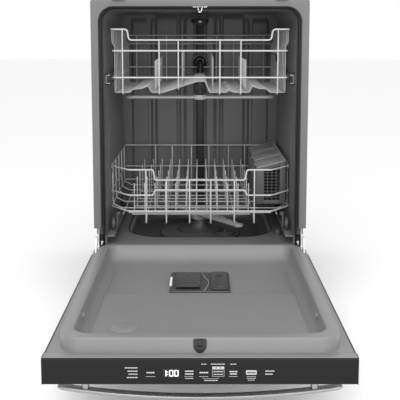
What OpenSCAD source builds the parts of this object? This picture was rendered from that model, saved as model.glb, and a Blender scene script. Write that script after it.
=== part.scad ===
// Built-in dishwasher, 24 inch opening, shown with the door lying open and both racks in.
// Millimetres. +X right, +Y to the back, Z 0 is the floor.
// Lengths in the modules are measured from the front plane of the tub frame.

/* [Cabinet] */
// Width across the front frame
body_w = 600; // [590:1:606]
// Height from the floor to the top of the front frame
body_h = 862; // [850:1:880]
// Depth from the front frame to the back of the tub jacket
body_d = 606; // [590:1:620]
// Gap between the frame opening and the side of the body
frame_side = 20; // [16:1:24]

/* [Tub] */
// Half of the clear width between the tub walls
tub_half = 269.5; // [262:0.5:272]
// Sheet thickness of the tub
sheet = 3; // [2:0.5:4]
// Height of the tub ceiling
tub_top = 834.6; // [820:0.2:840]
// Height of the tub floor
tub_floor_z = 165; // [160:1:168]
// Distance to the tub back wall
tub_back = 570; // [560:1:575]
// Height of the track that the lower wheels run on
track_z = 191.3; // [190:0.1:192]

/* [Door] */
// Width of the door panel
door_w = 603; // [598:1:606]
// How far the open door reaches in front of the frame
door_reach = 736; // [720:1:750]
// Height of the outer skin of the open door
skin_z = 108; // [100:1:112]
// Height of the flange of the open door
flange_z = 159; // [155:1:162]
// Height of the raised ring of the inner door
ring_z = 191; // [188:0.5:191]
// Height of the hinge pin
pivot_z = 143; // [138:1:148]

/* [Racks] */
// Front plane of both racks
rack_front = 45; // [42:1:60]
// Rack depth
rack_d = 490; // [480:1:495]
// Heavy wire diameter
rail_d = 5; // [4:0.2:6]
// Light wire diameter
wire_d = 3.6; // [3:0.2:4.4]
// Lower rack wheel radius
wheel_r = 19; // [17:0.5:20]
// Upper rack roller radius
roller_r = 10.5; // [10:0.1:10.6]
// Tine spacing of the lower rack
tine_pitch = 30; // [26:1:36]

/* [Hidden] */
half = body_w / 2;
frame_in = half - frame_side;
frame_top_in = body_h - 18;
recess = 34;
lip_y = 20;
front_y = (door_reach - body_d) / 2;
jacket_half = 291;
pivot_y = -19;
pin_d = 6;
door_half = door_w / 2;
rack_back = rack_front + rack_d;
hub_y = 300;
clear = 0.3;
eps = 0.4;

// ---- plain helpers ----
module set_back() { translate([0, front_y, 0]) children(); }
module box(x0, x1, y0, y1, z0, z1) {
  translate([x0, y0, z0]) cube([x1 - x0, y1 - y0, z1 - z0]);
}
module both() {
  children();
  mirror([1, 0, 0]) children();
}
// a flat shape drawn in x and z, filling y0 to y1
module facing(y0, y1) {
  translate([0, y1, 0]) rotate([90, 0, 0]) linear_extrude(y1 - y0) children();
}
// a flat shape drawn in y and z, filling x0 to x1
module sideways(x0, x1) {
  translate([x0, 0, 0]) rotate([90, 0, 90]) linear_extrude(x1 - x0) children();
}
// a flat shape drawn in x and y, filling z0 to z1
module level(z0, z1) {
  translate([0, 0, z0]) linear_extrude(z1 - z0) children();
}
module rod_x(x0, x1, y, z, d) {
  translate([x0, y, z]) rotate([0, 90, 0]) cylinder(h = x1 - x0, d = d, $fn = 32);
}
module rod_y(x, y0, y1, z, d) {
  translate([x, y0, z]) rotate([-90, 0, 0]) cylinder(h = y1 - y0, d = d, $fn = 32);
}
module rod_z(x, y, z0, z1, d) {
  translate([x, y, z0]) cylinder(h = z1 - z0, d = d, $fn = 32);
}
function arc(cx, cy, r, a0, a1, n) =
  [for (i = [0:n]) [cx + r * cos(a0 + (a1 - a0) * i / n), cy + r * sin(a0 + (a1 - a0) * i / n)]];
function rounded(x0, x1, y0, y1, r, n = 8) = concat(
  arc(x1 - r, y1 - r, r, 0, 90, n),
  arc(x0 + r, y1 - r, r, 90, 180, n),
  arc(x0 + r, y0 + r, r, 180, 270, n),
  arc(x1 - r, y0 + r, r, 270, 360, n));
// an opening with round top corners only
function arch(x1, y0, y1, r, n = 8) = concat(
  [[-x1, y0], [x1, y0]],
  arc(x1 - r, y1 - r, r, 0, 90, n),
  arc(-x1 + r, y1 - r, r, 90, 180, n));
// a bent wire of even width along a path of points
function unit(v) = v / norm(v);
function turned(v) = [-v[1], v[0]];
function ahead(p, i) = unit(p[min(i, len(p) - 2) + 1] - p[min(i, len(p) - 2)]);
function behind(p, i) = unit(p[max(i, 1)] - p[max(i, 1) - 1]);
function beside(p, i, r) =
  let (m = unit(turned(behind(p, i)) + turned(ahead(p, i))))
  p[i] + m * r / (m * turned(behind(p, i)));
function wire(p, d) = concat(
  [for (i = [0:len(p) - 1]) beside(p, i, d / 2)],
  [for (i = [len(p) - 1:-1:0]) beside(p, i, -d / 2)]);
// a wire bent in the x z plane at depth y, in the y z plane at x, or flat at height z
module wire_xz(p, y, d) { facing(y - d / 2, y + d / 2) polygon(wire(p, d)); }
module wire_yz(p, x, d) { sideways(x - d / 2, x + d / 2) polygon(wire(p, d)); }
module wire_xy(p, z, d) { level(z - d / 2, z + d / 2) polygon(wire(p, d)); }

// ---- front frame and tub ----
frame_low = 223;
gasket_low = 197;
module front_frame() color("Gainsboro") set_back() {
  difference() {
    facing(0, recess) polygon(arch(half, frame_low, body_h, 6, 4));
    facing(-1, recess + 1) polygon(arch(frame_in, frame_low - 1, frame_top_in, 42));
  }
  difference() {
    facing(recess, recess + sheet) polygon(arch(half - 4, gasket_low, body_h - 4, 6, 4));
    facing(recess - 1, recess + sheet + 1) polygon(arch(tub_half, gasket_low - 1, tub_top, 34));
  }
}

module tub_wrap() color("Silver") set_back() {
  tub_y0 = recess + sheet;
  difference() {
    facing(tub_y0, tub_back) polygon(arch(tub_half + sheet, tub_floor_z, tub_top + sheet, 37));
    facing(tub_y0 - 1, tub_back + 1) polygon(arch(tub_half, tub_floor_z - 1, tub_top, 34));
  }
  both() {
    // track for the lower wheels and the pressed arch above it
    box(246, tub_half + 1, tub_y0 + 3, 556, track_z - 4, track_z);
    sideways(tub_half - 2.5, tub_half + 1) polygon(arch_relief());
  }
}
function arch_relief() = concat([[107, 205], [552, 205]],
  arc(552 - 60, 510 - 60, 60, 0, 90, 8), arc(107 + 60, 510 - 60, 60, 90, 180, 8));

rib_t = 5;
module back_panel(x0, x1, top) {
  facing(tub_back - rib_t, tub_back + 1) polygon(rounded(x0, x1, 205, top, min(5, (x1 - x0) / 3), 3));
}
module tub_back_wall() color("Silver") set_back() {
  facing(tub_back, tub_back + sheet) polygon(arch(tub_half + sheet, tub_floor_z, tub_top + sheet, 37));
  both() {
    back_panel(182, 236, 814);
    back_panel(156, 169, 814);
    back_panel(79, 152, 828);
    back_panel(55, 70, 828);
    back_panel(21, 50, 828);
  }
}

well = [219, 125, 500, 105];
module well_shape(grow) {
  polygon(rounded(-well[0] - grow, well[0] + grow, well[1] - grow, well[2] + grow, well[3] + grow, 12));
}
module tub_floor() color("Silver") set_back() {
  difference() {
    union() {
      box(-tub_half - sheet, tub_half + sheet, lip_y + 2, tub_back + sheet, tub_floor_z - sheet, tub_floor_z);
      box(-tub_half - sheet, tub_half + sheet, lip_y + 2, lip_y + 2 + sheet, 146, tub_floor_z);
    }
    level(tub_floor_z - sheet - 1, tub_floor_z + 1) well_shape(0);
  }
}
tray_z = 132;
bowl = [118, 205, 395, 66];
module sump_tray() color("DimGray") set_back() {
  difference() {
    level(tray_z - sheet, tub_floor_z - sheet) well_shape(sheet);
    level(tray_z, tub_floor_z) well_shape(0);
    level(tray_z - sheet - 1, tray_z + 1)
      polygon(rounded(-bowl[0], bowl[0], bowl[1], bowl[2], 60, 8));
  }
}
module sump_housing() color("DimGray") set_back() {
  difference() {
    level(bowl[3], tray_z - sheet) polygon(rounded(-bowl[0] - sheet, bowl[0] + sheet,
      bowl[1] - sheet, bowl[2] + sheet, 60 + sheet, 8));
    level(bowl[3] + sheet, tray_z) polygon(rounded(-bowl[0], bowl[0], bowl[1], bowl[2], 60, 8));
  }
  // riser that feeds the lower spray arm
  difference() {
    rod_z(0, hub_y, bowl[3] + 1, 188, 44);
    rod_z(0, hub_y, bowl[3] + sheet + 1, 189, 34);
  }
}

filter_x = 78;
filter_y = 262;
module filter_plate() color("SlateGray") set_back() difference() {
  union() {
    rod_z(0, hub_y, tray_z, tray_z + 4, 260);
    translate([0, hub_y, tray_z + 4]) cylinder(h = 9, r1 = 110, r2 = 70, $fn = 96);
  }
  rod_z(0, hub_y, tray_z - 1, tray_z + 20, 45);
  rod_z(filter_x, filter_y, tray_z - 1, tray_z + 20, 65);
}
module cylinder_filter() color("DarkGray") set_back() translate([filter_x, filter_y, 0]) {
  difference() {
    union() {
      rod_z(0, 0, 78, 146, 64);
      rod_z(0, 0, 145.4, 150, 72);
    }
    rod_z(0, 0, 82, 150 + 1, 58);
  }
  box(-4, 4, -31, 31, 140, 158);
}
module float_cup() color("DarkGray") set_back() translate([236, 150, 0]) {
  rod_z(0, 0, tub_floor_z + 0.5, tub_floor_z + 14, 18);
  rod_z(0, 0, tub_floor_z + 14, tub_floor_z + 17, 12);
}

pump_z = 88;
module circulation_pump() color("DimGray") set_back() {
  rod_x(bowl[0] + sheet, 200, 300, pump_z, 42);
  rod_x(200, 262, 300, pump_z, 74);
  rod_x(262, 272, 300, pump_z, 30);
}
module drain_pump() color("DimGray") set_back() {
  rod_x(-190, -bowl[0] - sheet, 260, 92, 44);
  rod_x(-212, -190, 260, 92, 58);
  // spigot for the drain hose
  difference() {
    union() {
      box(-232, -190, 250, 282, 80, 104);
      rod_y(-222, 281, 546, 92, 18);
      rod_y(-222, 545, 585, 92, 21);
    }
    rod_y(-222, 270, 600, 92, 14);
  }
}
// where the water inlet and the power entry open downwards
inlet = [-234, 87];
entry = [226, 92];
module inlet_valve() color("White") set_back() {
  box(-262, -206, 62, 112, 52, 96);
  difference() {
    rod_z(inlet[0], inlet[1], 28, 53, 26);
    rod_z(inlet[0], inlet[1], 27, 48, 19.6);
  }
  box(-254, -214, 111, 134, 56, 90);
}
module junction_box() color("Silver") set_back() difference() {
  box(190, 262, 62, 122, 28, 88);
  box(192, 260, 64, 120, 30, 86);
  rod_z(entry[0], entry[1], 27, 31, 22.2);
}

module door_gasket() color([0.1, 0.1, 0.1]) set_back() difference() {
  facing(29.6, recess) polygon(arch(frame_in - 0.3, gasket_low, frame_top_in - 0.3, 41.7));
  facing(29, recess + 1) polygon(arch(tub_half, gasket_low - 1, tub_top, 34));
}
base_in = 281;
base_end = 584;
module side_jackets() color("DimGray") set_back() {
  both() box(tub_half + sheet + clear, jacket_half, 60, tub_back + sheet, 166, 790);
  box(-250, 250, 60, body_d - 6, tub_top + sheet + clear, body_h - 6);
  box(-jacket_half, jacket_half, tub_back + sheet + clear, body_d, 250, 830);
}
module base_frame() color([0.2, 0.2, 0.2]) set_back() {
  both() {
    box(base_in, 285, 24, 53, 98 + clear, 146);
    box(base_in, 285, 52 + clear, base_end - clear, 25, 146);
    box(274, 285, 27, 60, 145, tub_floor_z - sheet);
    box(284, 295, 416, 426, 50, 66);
    box(262, 285, 60, base_end - clear, 145, tub_floor_z - sheet);
  }
  box(clear - base_in, base_in - clear, 24, 30, 118, 146);
  difference() {
    box(-285, 285, base_end, 590, 60, tub_floor_z - sheet);
    box(-250, -194, 580, 600, 59, 125);
  }
  difference() {
    box(clear - base_in, base_in - clear, 43 + clear, base_end - clear, 25, 28);
    for (p = [inlet, entry]) box(p[0] - 21, p[0] + 21, 40, 114, 24, 29);
  }
}
module toe_kick_panel() color([0.12, 0.12, 0.12]) set_back() {
  box(-298, 298, 40, 43, 6, 98);
  box(-298, 298, 43, 52, 95, 98);
  both() box(286, 289, 43, 60, 30, 98);
}
module levelling_feet() color("Silver") set_back() both() for (y = [60, 560]) {
  rod_z(268, y, 0, 5, 32);
  rod_z(268, y, 4, 24.9, 10);
}
bracket_y = -7;
module mounting_brackets() color("Silver") set_back() both() difference() {
  union() {
    box(206, 240, -14, 40, body_h, body_h + 1.6);
    box(206, 240, 38, 40, body_h - 12, body_h + 1);
  }
  rod_z(223, bracket_y, body_h - 1, body_h + 3, 5.5);
}

module strike_plate() color("Silver") set_back() {
  box(-22, 22, 3, 28, frame_top_in - 2, frame_top_in);
  // hook that the latch catches
  box(-4, 4, 12, 15, frame_top_in - 15, frame_top_in - 1);
  box(-4, 4, 8, 15, frame_top_in - 17, frame_top_in - 14);
}
module hinge_brackets() color("Silver") set_back() {
  both() {
    box(287, 290, pivot_y - 9, 58, 134, 152);
    box(287, 290, 16, recess - clear, 151, frame_low);
    box(287, 290, recess - 1, 58, 151, gasket_low - clear);
    box(285, 290, 24, 58, 120, 152);
    rod_x(289, 297, pivot_y, pivot_z, pin_d);
  }
}

// ---- water feed to the upper rack ----
port_z = 671;
port_y = 541;
module spray_conduit() color("Gray") set_back() {
  box(-13, 13, 552, tub_back, tub_floor_z, 826);
  box(-11, 11, 285, 553, 812, 826);
  rod_z(0, 300, 800, 813, 56);
  rod_z(0, 300, 796, 801, 34);
  difference() {
    union() {
      rod_y(0, port_y, 553, port_z, 42);
      box(-24, 24, 549, 553, 642, 700);
    }
    rod_y(0, port_y - 1, 551, port_z, 20);
  }
}
rail_z = [629, 653.5];
rail_x = [256, 267.5];
module rail_guides() color([0.1, 0.1, 0.1]) set_back() both() for (y = [70, 250]) {
  box(rail_x[0], tub_half, y, y + 30, rail_z[1] + clear, rail_z[1] + 6);
  box(rail_x[0], tub_half, y, y + 30, rail_z[0] - 6, rail_z[0] - clear);
  box(rail_x[1] + clear, tub_half, y, y + 30, rail_z[0] - 1, rail_z[1] + 1);
}
module rail() facing(60, 540) polygon([[rail_x[0], rail_z[0]], [rail_x[1], rail_z[0]],
  [rail_x[1], rail_z[1]], [rail_x[0], rail_z[1]], [rail_x[0], rail_z[1] - 1.5],
  [rail_x[1] - 1.5, rail_z[1] - 1.5], [rail_x[1] - 1.5, rail_z[0] + 1.5],
  [rail_x[0], rail_z[0] + 1.5]]);
module rail_right() color("Silver") set_back() rail();
module rail_left() color("Silver") set_back() mirror([1, 0, 0]) rail();

// ---- door ----
ring_out = [276, -712, -43, 46];
ring_in = [249.5, -685, -62, 34];
liner_t = 3;
fascia_y = -714;
door_end = 14;
basin_z = 150;
step_z = 154;
step_y = -345;
module ring_shape(r, grow) {
  polygon(rounded(-r[0] - grow, r[0] + grow, r[1] - grow, r[2] + grow, r[3] + grow, 10));
}
module outer_panel() color("Silver") set_back() {
  box(-door_half, door_half, fascia_y, door_end, skin_z, skin_z + 1.2);
  both() box(door_half - 1.2, door_half, fascia_y, door_end, skin_z, flange_z - liner_t);
}
module inner_liner() color("Silver") set_back() difference() {
  union() {
    box(-door_half, door_half, fascia_y, door_end, flange_z - liner_t, flange_z);
    level(basin_z - liner_t, ring_z) ring_shape(ring_out, 0);
  }
  difference() {
    level(basin_z, ring_z + 1) ring_shape(ring_in, 0);
    box(-300, 300, -700, step_y, basin_z - 1, step_z);
  }
  difference() {
    level(basin_z - liner_t - 1, ring_z - liner_t) ring_shape(ring_out, -liner_t);
    level(basin_z - liner_t - 2, ring_z) ring_shape(ring_in, liner_t);
  }
  // window for the dispenser, slot for the latch, notches for the hinges
  box(-69.4, 69.4, -337.4, -193.6, 140, 160);
  box(-12, 12, -713.5, -698, flange_z, ring_z + 1);
  both() box(284, door_half + 1, -45, door_end + 1, 150, 170);
}
module control_fascia() color([0.18, 0.18, 0.18]) set_back() difference() {
  box(-door_half, door_half, -door_reach, fascia_y, skin_z, 161);
  box(-door_half + 3, door_half - 3, -door_reach + 3, fascia_y + 1, skin_z + 3, 158);
  box(display[0], display[1], -door_reach - 1, -door_reach + 4, display[2], display[3]);
  for (p = pads) box(p[0], p[1], -door_reach - 1, -door_reach + 4, p[2], p[3]);
}
display = [-70, -38, 123, 140];
pads = [[-104, -84, 126, 140], [-31, -10, 126, 140], [87, 108, 126, 140]];
module display_window() color([0.05, 0.05, 0.05]) set_back()
  box(display[0], display[1], -door_reach + 0.4, -door_reach + 3, display[2], display[3]);
module pad(p) {
  box(p[0] + clear, p[1] - clear, -door_reach, -door_reach + 4, p[2] + clear, p[3] - clear);
}
module pad_cycle() color("Gray") set_back() pad(pads[0]);
module pad_delay() color("Gray") set_back() pad(pads[1]);
module pad_start() color("White") set_back() pad(pads[2]);

module hinge_arms() color("Silver") set_back() both() difference() {
  union() {
    box(291, 295, -150, pivot_y, 133, 153);
    box(291, door_half - 1.2, -150, -70, 133, 153);
    rod_x(291, 295, pivot_y, pivot_z, 24);
    sideways(291, 295) polygon(wire([[pivot_y, pivot_z], [-1, 194]], 12));
    rod_x(291, 295, 0, 196, 12.2);
  }
  rod_x(290, 296, pivot_y, pivot_z, pin_d + 0.12);
}
module door_springs() color("DimGray") set_back() both()
  sideways(295.3, 299) polygon(wire([[1, 195], [419, 62]], 7));
module vent_cover() color("Gray") set_back() translate([-160, -561, step_z]) {
  cylinder(h = 3, r = 35, $fn = 64);
  translate([0, 0, 3]) cylinder(h = 2, r = 28, $fn = 64);
}
grip_y = [-700, -680];
function grip_z(x) = 62 + 22 * pow(x / 280, 2);
module handle_bar() color("Silver") set_back() {
  facing(grip_y[0], grip_y[1])
    polygon(wire([for (i = [-12:12]) [i * 280 / 12, grip_z(i * 280 / 12)]], 10));
  both() box(218, 232, grip_y[0] + 3, grip_y[1] - 3, grip_z(225) + 2, skin_z);
}
module latch_hook() color("DimGray") set_back()
  box(-6, 6, -711, -707, flange_z + 0.3, 168.5);

module dispenser_body() color("Gray") set_back() difference() {
  union() {
    box(-74, 74, -342, -189, basin_z, 156);
    box(-69, 69, -337, -194, 118, basin_z + 1);
  }
  box(-55, -3, -306, -206, 122, 157);
  box(31, 64, -326, -199, 122, 157);
  box(-76, -64.5, -305, -235, 153, 157);
}
module detergent_lid() color("Gray") set_back() {
  box(-60, 1.5, -311, -200, 156.3, 159.5);
  box(-45, -13, -308, -304, 159, 162);
}
module rinse_lid() color("Gray") set_back() {
  box(27, 68, -330, -195, 156.3, 159.5);
  rod_y(68, -330, -195, 157.9, 3.2);
  box(38, 57, -328, -318, 159, 163);
}
module release_tab() color("White") set_back() box(-75, -69, -300, -240, 153.3, 160);

// ---- upper rack ----
wave = [[-200, 603], [-193, 612], [-167, 614], [-148, 622], [-139, 603], [-108, 602], [-9, 634],
  [15, 635], [27, 603], [75, 603], [86, 610], [95, 603], [141, 603], [150, 621], [169, 614],
  [189, 614], [201, 603]];
bearers = [-218, -115, 56, 115, 219];
bearer_z = 599.8;
up_ribs = 12;
function rib_y(i) = min(75 + i * 40, 503);
module upper_rack_floor() color("White") set_back() {
  for (i = [0:up_ribs - 1])
    wire_xz(concat([[-243, 603]], wave, [[243, 603]]), rib_y(i), wire_d);
  for (x = bearers) wire_yz([[75 - 6, bearer_z], [521, bearer_z]], x, wire_d);
  wire_yz([[69, 613.8], [521, 613.8]], -61, wire_d);
}
module upper_rack_frame() color("White") set_back() {
  // front
  wire_xz([[-250, 782], [-204, 782], [-200, 752], [200, 752], [204, 782], [250, 782]],
    rack_front, rail_d);
  for (z = [722, 647]) wire_xz([[-246, z], [246, z]], rack_front, rail_d);
  for (x = concat(bearers, [-61])) {
    top = abs(x) > 204 ? 782 : 752;
    low = x == -61 ? 613.8 : bearer_z;
    wire_yz([[rack_front, top], [rack_front, low], [66, low]], x, wire_d);
    wire_yz([[524, low], [rack_back, low + 8], [rack_back, 763]], x, wire_d);
  }
  // sides and back
  for (z = [763, 655]) wire_xz([[-246, z], [246, z]], rack_back, rail_d);
  both() {
    wire_yz([[rack_front, 782], [505, 782], [rack_back, 763]], 250, rail_d);
    for (z = [722, 647]) wire_yz([[rack_front, z], [rack_back, z]], 245, rail_d);
    for (i = [0:up_ribs - 1])
      wire_xz([[243, 605.4], [243, 735], [250, 745], [250, 782]], rib_y(i), wire_d);
  }
}
up_tines = [[-129, 603, 692], [-51, 621.7, 715], [37, 603, 702], [132, 603, 694]];
module upper_rack_tines() color("White") set_back() for (t = up_tines) {
  wire_yz([[80, t[1] + 3.8], [512, t[1] + 3.8]], t[0], wire_d);
  for (i = [0:10]) box(t[0] - 1.6, t[0] + 1.6, 93 + i * 40, 96.2 + i * 40, t[1] + 3, t[2]);
}
wheel_ys = [340, 510];
up_wheel_z = rail_z[0] + 1.5 + roller_r + 0.1;
module rack_carriers() color([0.15, 0.15, 0.15]) set_back() both() {
  box(252.9, 255.4, 322, 528, 632, 735);
  box(247.6, 253, 330, 345, 640, 643);
  box(247.6, 253, 500, 515, 640, 643);
  for (y = wheel_ys) rod_x(255, 265, y, up_wheel_z, 6);
}
module roller_pair(y) both() difference() {
  rod_x(257, 264, y, up_wheel_z, 2 * roller_r);
  rod_x(256, 265, y, up_wheel_z, 6.16);
}
module upper_front_rollers() color("White") set_back() roller_pair(wheel_ys[0]);
module upper_rear_rollers() color("White") set_back() roller_pair(wheel_ys[1]);
up_hub_y = 290;
riser_y = 520;
module feed_tube() color("Gray") set_back() difference() {
  union() {
    rod_y(2, up_hub_y, riser_y + 2, 616, 20);
    rod_z(2, riser_y, 616, port_z, 20);
    rod_y(0, riser_y, 540.5, port_z, 22);
    rod_z(0, up_hub_y, 582, 617, 30);
    rod_z(0, up_hub_y, 560, 583, 10);
    rod_z(0, up_hub_y, 560, 563, 16);
  }
  rod_y(0, riser_y + 1, 542, port_z, 16);
}
module spray_bar(reach, wide, tip, z0, z1) {
  level(z0, z1) polygon([[-reach, -tip], [-40, -wide], [40, -wide], [reach, -tip],
    [reach + 8, 0], [reach, tip], [40, wide], [-40, wide], [-reach, tip], [-reach - 8, 0]]);
}
module upper_spray_arm() color("Silver") set_back() translate([0, up_hub_y, 0]) difference() {
  union() {
    spray_bar(225, 20, 11, 566, 577);
    rod_z(0, 0, 564, 579, 44);
  }
  rod_z(0, 0, 550, 590, 10.16);
}

// ---- lower rack ----
low_w = 262;
low_top = 383;
low_floor = 248;
low_bearer = low_floor - wire_d + eps;
runners = [-155, -97, -30, 31, 99, 156];
low_ribs = [150, 238, 327, 415, 503];
chamfer = [58, 70];
low_corner = low_w - chamfer[0];
function corner_wire() = [[low_corner + 1.6, rack_front + 1.9], [low_w - 0.4, rack_front + chamfer[1] - 0.5]];
function side_wire() = [[low_w, rack_front + chamfer[1] + 1.6], [low_w, rack_back - rail_d / 2 - clear]];
module lower_rack_floor() color("White") set_back() {
  wire_xz([[-208, low_floor], [208, low_floor]], 89, wire_d);
  for (y = low_ribs)
    wire_xz([[-236, low_floor], [236, low_floor]], y, wire_d);
  // the rib ends that turn up to the sides
  both() for (y = low_ribs) wire_xz([[237.5, low_floor + 0.8], [258.4, 260]], y, wire_d);
  for (x = concat(runners, [-225, 225]))
    wire_yz([[84, low_bearer], [510, low_bearer]], x, wire_d);
}
module lower_rack_frame() color("White") set_back() {
  // front
  wire_xz([[-low_corner, low_top], [-134, low_top], [-130, 353], [130, 353], [134, low_top],
    [low_corner, low_top]], rack_front, rail_d);
  wire_xz([[-low_corner, 309], [-134, 309], [-130, 324], [130, 324], [134, 309],
    [low_corner, 309]], rack_front, rail_d);
  wire_xz([[-low_corner, 262], [low_corner, 262]], rack_front, rail_d);
  // sides and corners
  for (z = [low_top, 309, 262]) {
    both() wire_xy(side_wire(), z, rail_d);
    both() wire_xy(corner_wire(), z, rail_d);
    wire_xz([[-low_w - 2.5, z], [low_w + 2.5, z]], rack_back, rail_d);
  }
  for (x = runners) {
    top = abs(x) > 134 ? low_top : 353;
    wire_yz([[rack_front, top], [rack_front, 222.7]], x, wire_d);
    wire_yz([[48.1, 226.3], [80, low_bearer]], x, wire_d);
    wire_yz([[514, low_bearer], [rack_back, 252], [rack_back, low_top]], x, wire_d);
  }
  both() for (y = low_ribs) wire_xz([[low_w, 264.5], [low_w, low_top]], y, wire_d);
}
tine_rows = [62, 165, 270, 380, 488];
tine_cols = 12;
module lower_rack_tines() color("White") set_back() for (y = tine_rows) {
  wire_xz([[-196, low_floor + 2], [146, low_floor + 2]], y, wire_d);
  for (i = [0:tine_cols - 1]) {
    x = -190 + i * tine_pitch;
    box(x - 1.6, x + 1.6, y - 1.6, y + 1.6, low_floor + 3, 340);
  }
}
axle_z = track_z + 0.1 + wheel_r;
low_wheels = [110, 440];
module wheel_carriers() color([0.25, 0.25, 0.25]) set_back() both() for (y = low_wheels) {
  box(242, 249, y - 9, y + 9, axle_z - 8, low_floor - 2);
  box(236, 249, y - 9, y + 9, low_floor - 12, low_floor - 2);
  rod_x(248, 260.5, y, axle_z, 8);
}
module wheel_pair(y) both() difference() {
  rod_x(251, 259.5, y, axle_z, 2 * wheel_r);
  rod_x(250, 261, y, axle_z, 8.16);
}
module front_wheels() color("Gray") set_back() wheel_pair(low_wheels[0]);
module rear_wheels() color("Gray") set_back() wheel_pair(low_wheels[1]);
module lower_spray_arm() color("Silver") set_back() translate([0, hub_y, 0]) difference() {
  union() {
    rotate([0, 0, -55.5]) spray_bar(212, 25, 14, 192, 205);
    rod_z(0, 0, 180, 209, 58);
  }
  rod_z(0, 0, 179, 190, 44.16);
}

// ---- cutlery basket ----
bk = [167, 254, 122, 525, 266];
bk_low = 372;
bk_high = 394;
cells = [[124, 255], [257, 388], [390, 523]];
module basket_body() color([0.25, 0.25, 0.25]) set_back() difference() {
  facing(bk[2], bk[3]) polygon([[bk[0], bk[4]], [bk[1], bk[4]], [bk[1], bk_high], [bk[0], bk_low]]);
  for (c = cells)
    box(bk[0] + 2, bk[1] - 2, c[0], c[1], bk[4] + 2, 400);
  // drain slots
  for (c = cells) for (i = [0:3])
    box(bk[0] - 1, bk[1] + 1, c[0] + 16 + i * 27, c[0] + 26 + i * 27, 285, 355);
  for (i = [0:3])
    box(190 + i * 11, 197 + i * 11, bk[2] - 1, bk[2] + 3, 285, 362);
}
lid_t = 3;
module lid(c) {
  facing(c[0] - 1.2, c[1] + 0.6) polygon([[bk[0], bk_low + 0.4], [bk[1], bk_high + 0.4],
    [bk[1], bk_high + 0.4 + lid_t], [bk[0], bk_low + 0.4 + lid_t]]);
  // hinge barrel
  rod_y(bk[1], c[0] - 1.2, c[1] + 0.6, bk_high + 0.4 + lid_t / 2, lid_t);
}
module lid_front() color([0.35, 0.35, 0.35]) set_back() lid(cells[0]);
module lid_middle() color([0.35, 0.35, 0.35]) set_back() lid(cells[1]);
module lid_rear() color([0.35, 0.35, 0.35]) set_back() lid(cells[2]);

front_frame();
tub_wrap();
tub_back_wall();
tub_floor();
sump_tray();
filter_plate();
sump_housing();
circulation_pump();
drain_pump();
inlet_valve();
junction_box();
door_gasket();
side_jackets();
base_frame();
toe_kick_panel();
levelling_feet();
mounting_brackets();
strike_plate();
hinge_brackets();
spray_conduit();
rail_guides();
cylinder_filter();
float_cup();
rail_left();
rail_right();
outer_panel();
inner_liner();
control_fascia();
display_window();
hinge_arms();
door_springs();
vent_cover();
handle_bar();
latch_hook();
dispenser_body();
detergent_lid();
rinse_lid();
release_tab();
pad_cycle();
pad_delay();
pad_start();
upper_rack_floor();
upper_rack_frame();
upper_rack_tines();
rack_carriers();
feed_tube();
upper_front_rollers();
upper_rear_rollers();
upper_spray_arm();
lower_rack_floor();
lower_rack_frame();
lower_rack_tines();
wheel_carriers();
front_wheels();
rear_wheels();
lower_spray_arm();
basket_body();
lid_front();
lid_middle();
lid_rear();
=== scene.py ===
import math

import bmesh
import bpy
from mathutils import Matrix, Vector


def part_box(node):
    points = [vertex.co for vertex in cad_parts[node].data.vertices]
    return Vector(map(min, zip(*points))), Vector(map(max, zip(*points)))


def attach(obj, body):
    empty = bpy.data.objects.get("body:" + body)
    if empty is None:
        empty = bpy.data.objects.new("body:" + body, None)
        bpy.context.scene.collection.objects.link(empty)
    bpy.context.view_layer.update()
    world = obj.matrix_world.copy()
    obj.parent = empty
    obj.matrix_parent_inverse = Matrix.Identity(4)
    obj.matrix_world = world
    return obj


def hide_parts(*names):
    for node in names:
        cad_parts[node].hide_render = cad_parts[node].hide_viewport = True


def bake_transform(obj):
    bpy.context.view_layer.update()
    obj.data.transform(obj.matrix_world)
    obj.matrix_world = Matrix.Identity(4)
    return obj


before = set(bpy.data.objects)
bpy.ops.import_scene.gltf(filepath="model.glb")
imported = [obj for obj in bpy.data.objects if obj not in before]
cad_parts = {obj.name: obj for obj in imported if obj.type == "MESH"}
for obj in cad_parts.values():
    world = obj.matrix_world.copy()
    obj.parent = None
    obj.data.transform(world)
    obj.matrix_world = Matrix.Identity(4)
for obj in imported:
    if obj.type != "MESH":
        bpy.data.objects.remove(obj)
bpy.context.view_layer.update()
MM = 0.001
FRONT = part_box("front_frame")[0][1]


def span(node):
    """A node's box at rest in millimetres, with y measured from the front of the frame."""
    lo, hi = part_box(node)
    lo = (lo[0] / MM, (lo[1] - FRONT) / MM, lo[2] / MM)
    hi = (hi[0] / MM, (hi[1] - FRONT) / MM, hi[2] / MM)
    return lo, hi


def edges(node):
    """The same box as x0, x1, y0, y1, z0, z1."""
    return [c for pair in zip(*span(node)) for c in pair]


def place(x, y, z):
    return (x * MM, y * MM + FRONT, z * MM)


def middle(node):
    """The plan centre of a node's box."""
    x0, x1, y0, y1, _, _ = edges(node)
    return ((x0 + x1) / 2, (y0 + y1) / 2, 0)


# ---- flat shapes ----


def arc(cx, cy, r, a0, a1, n):
    out = []
    for i in range(n + 1):
        a = math.radians(a0 + (a1 - a0) * i / n)
        out.append((cx + r * math.cos(a), cy + r * math.sin(a)))
    return out


def rounded(x0, x1, y0, y1, r, n=6):
    r = max(0.01, min(r, (x1 - x0) / 2 - 0.01, (y1 - y0) / 2 - 0.01))
    return (
        arc(x1 - r, y1 - r, r, 0, 90, n)
        + arc(x0 + r, y1 - r, r, 90, 180, n)
        + arc(x0 + r, y0 + r, r, 180, 270, n)
        + arc(x1 - r, y0 + r, r, 270, 360, n)
    )


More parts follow.
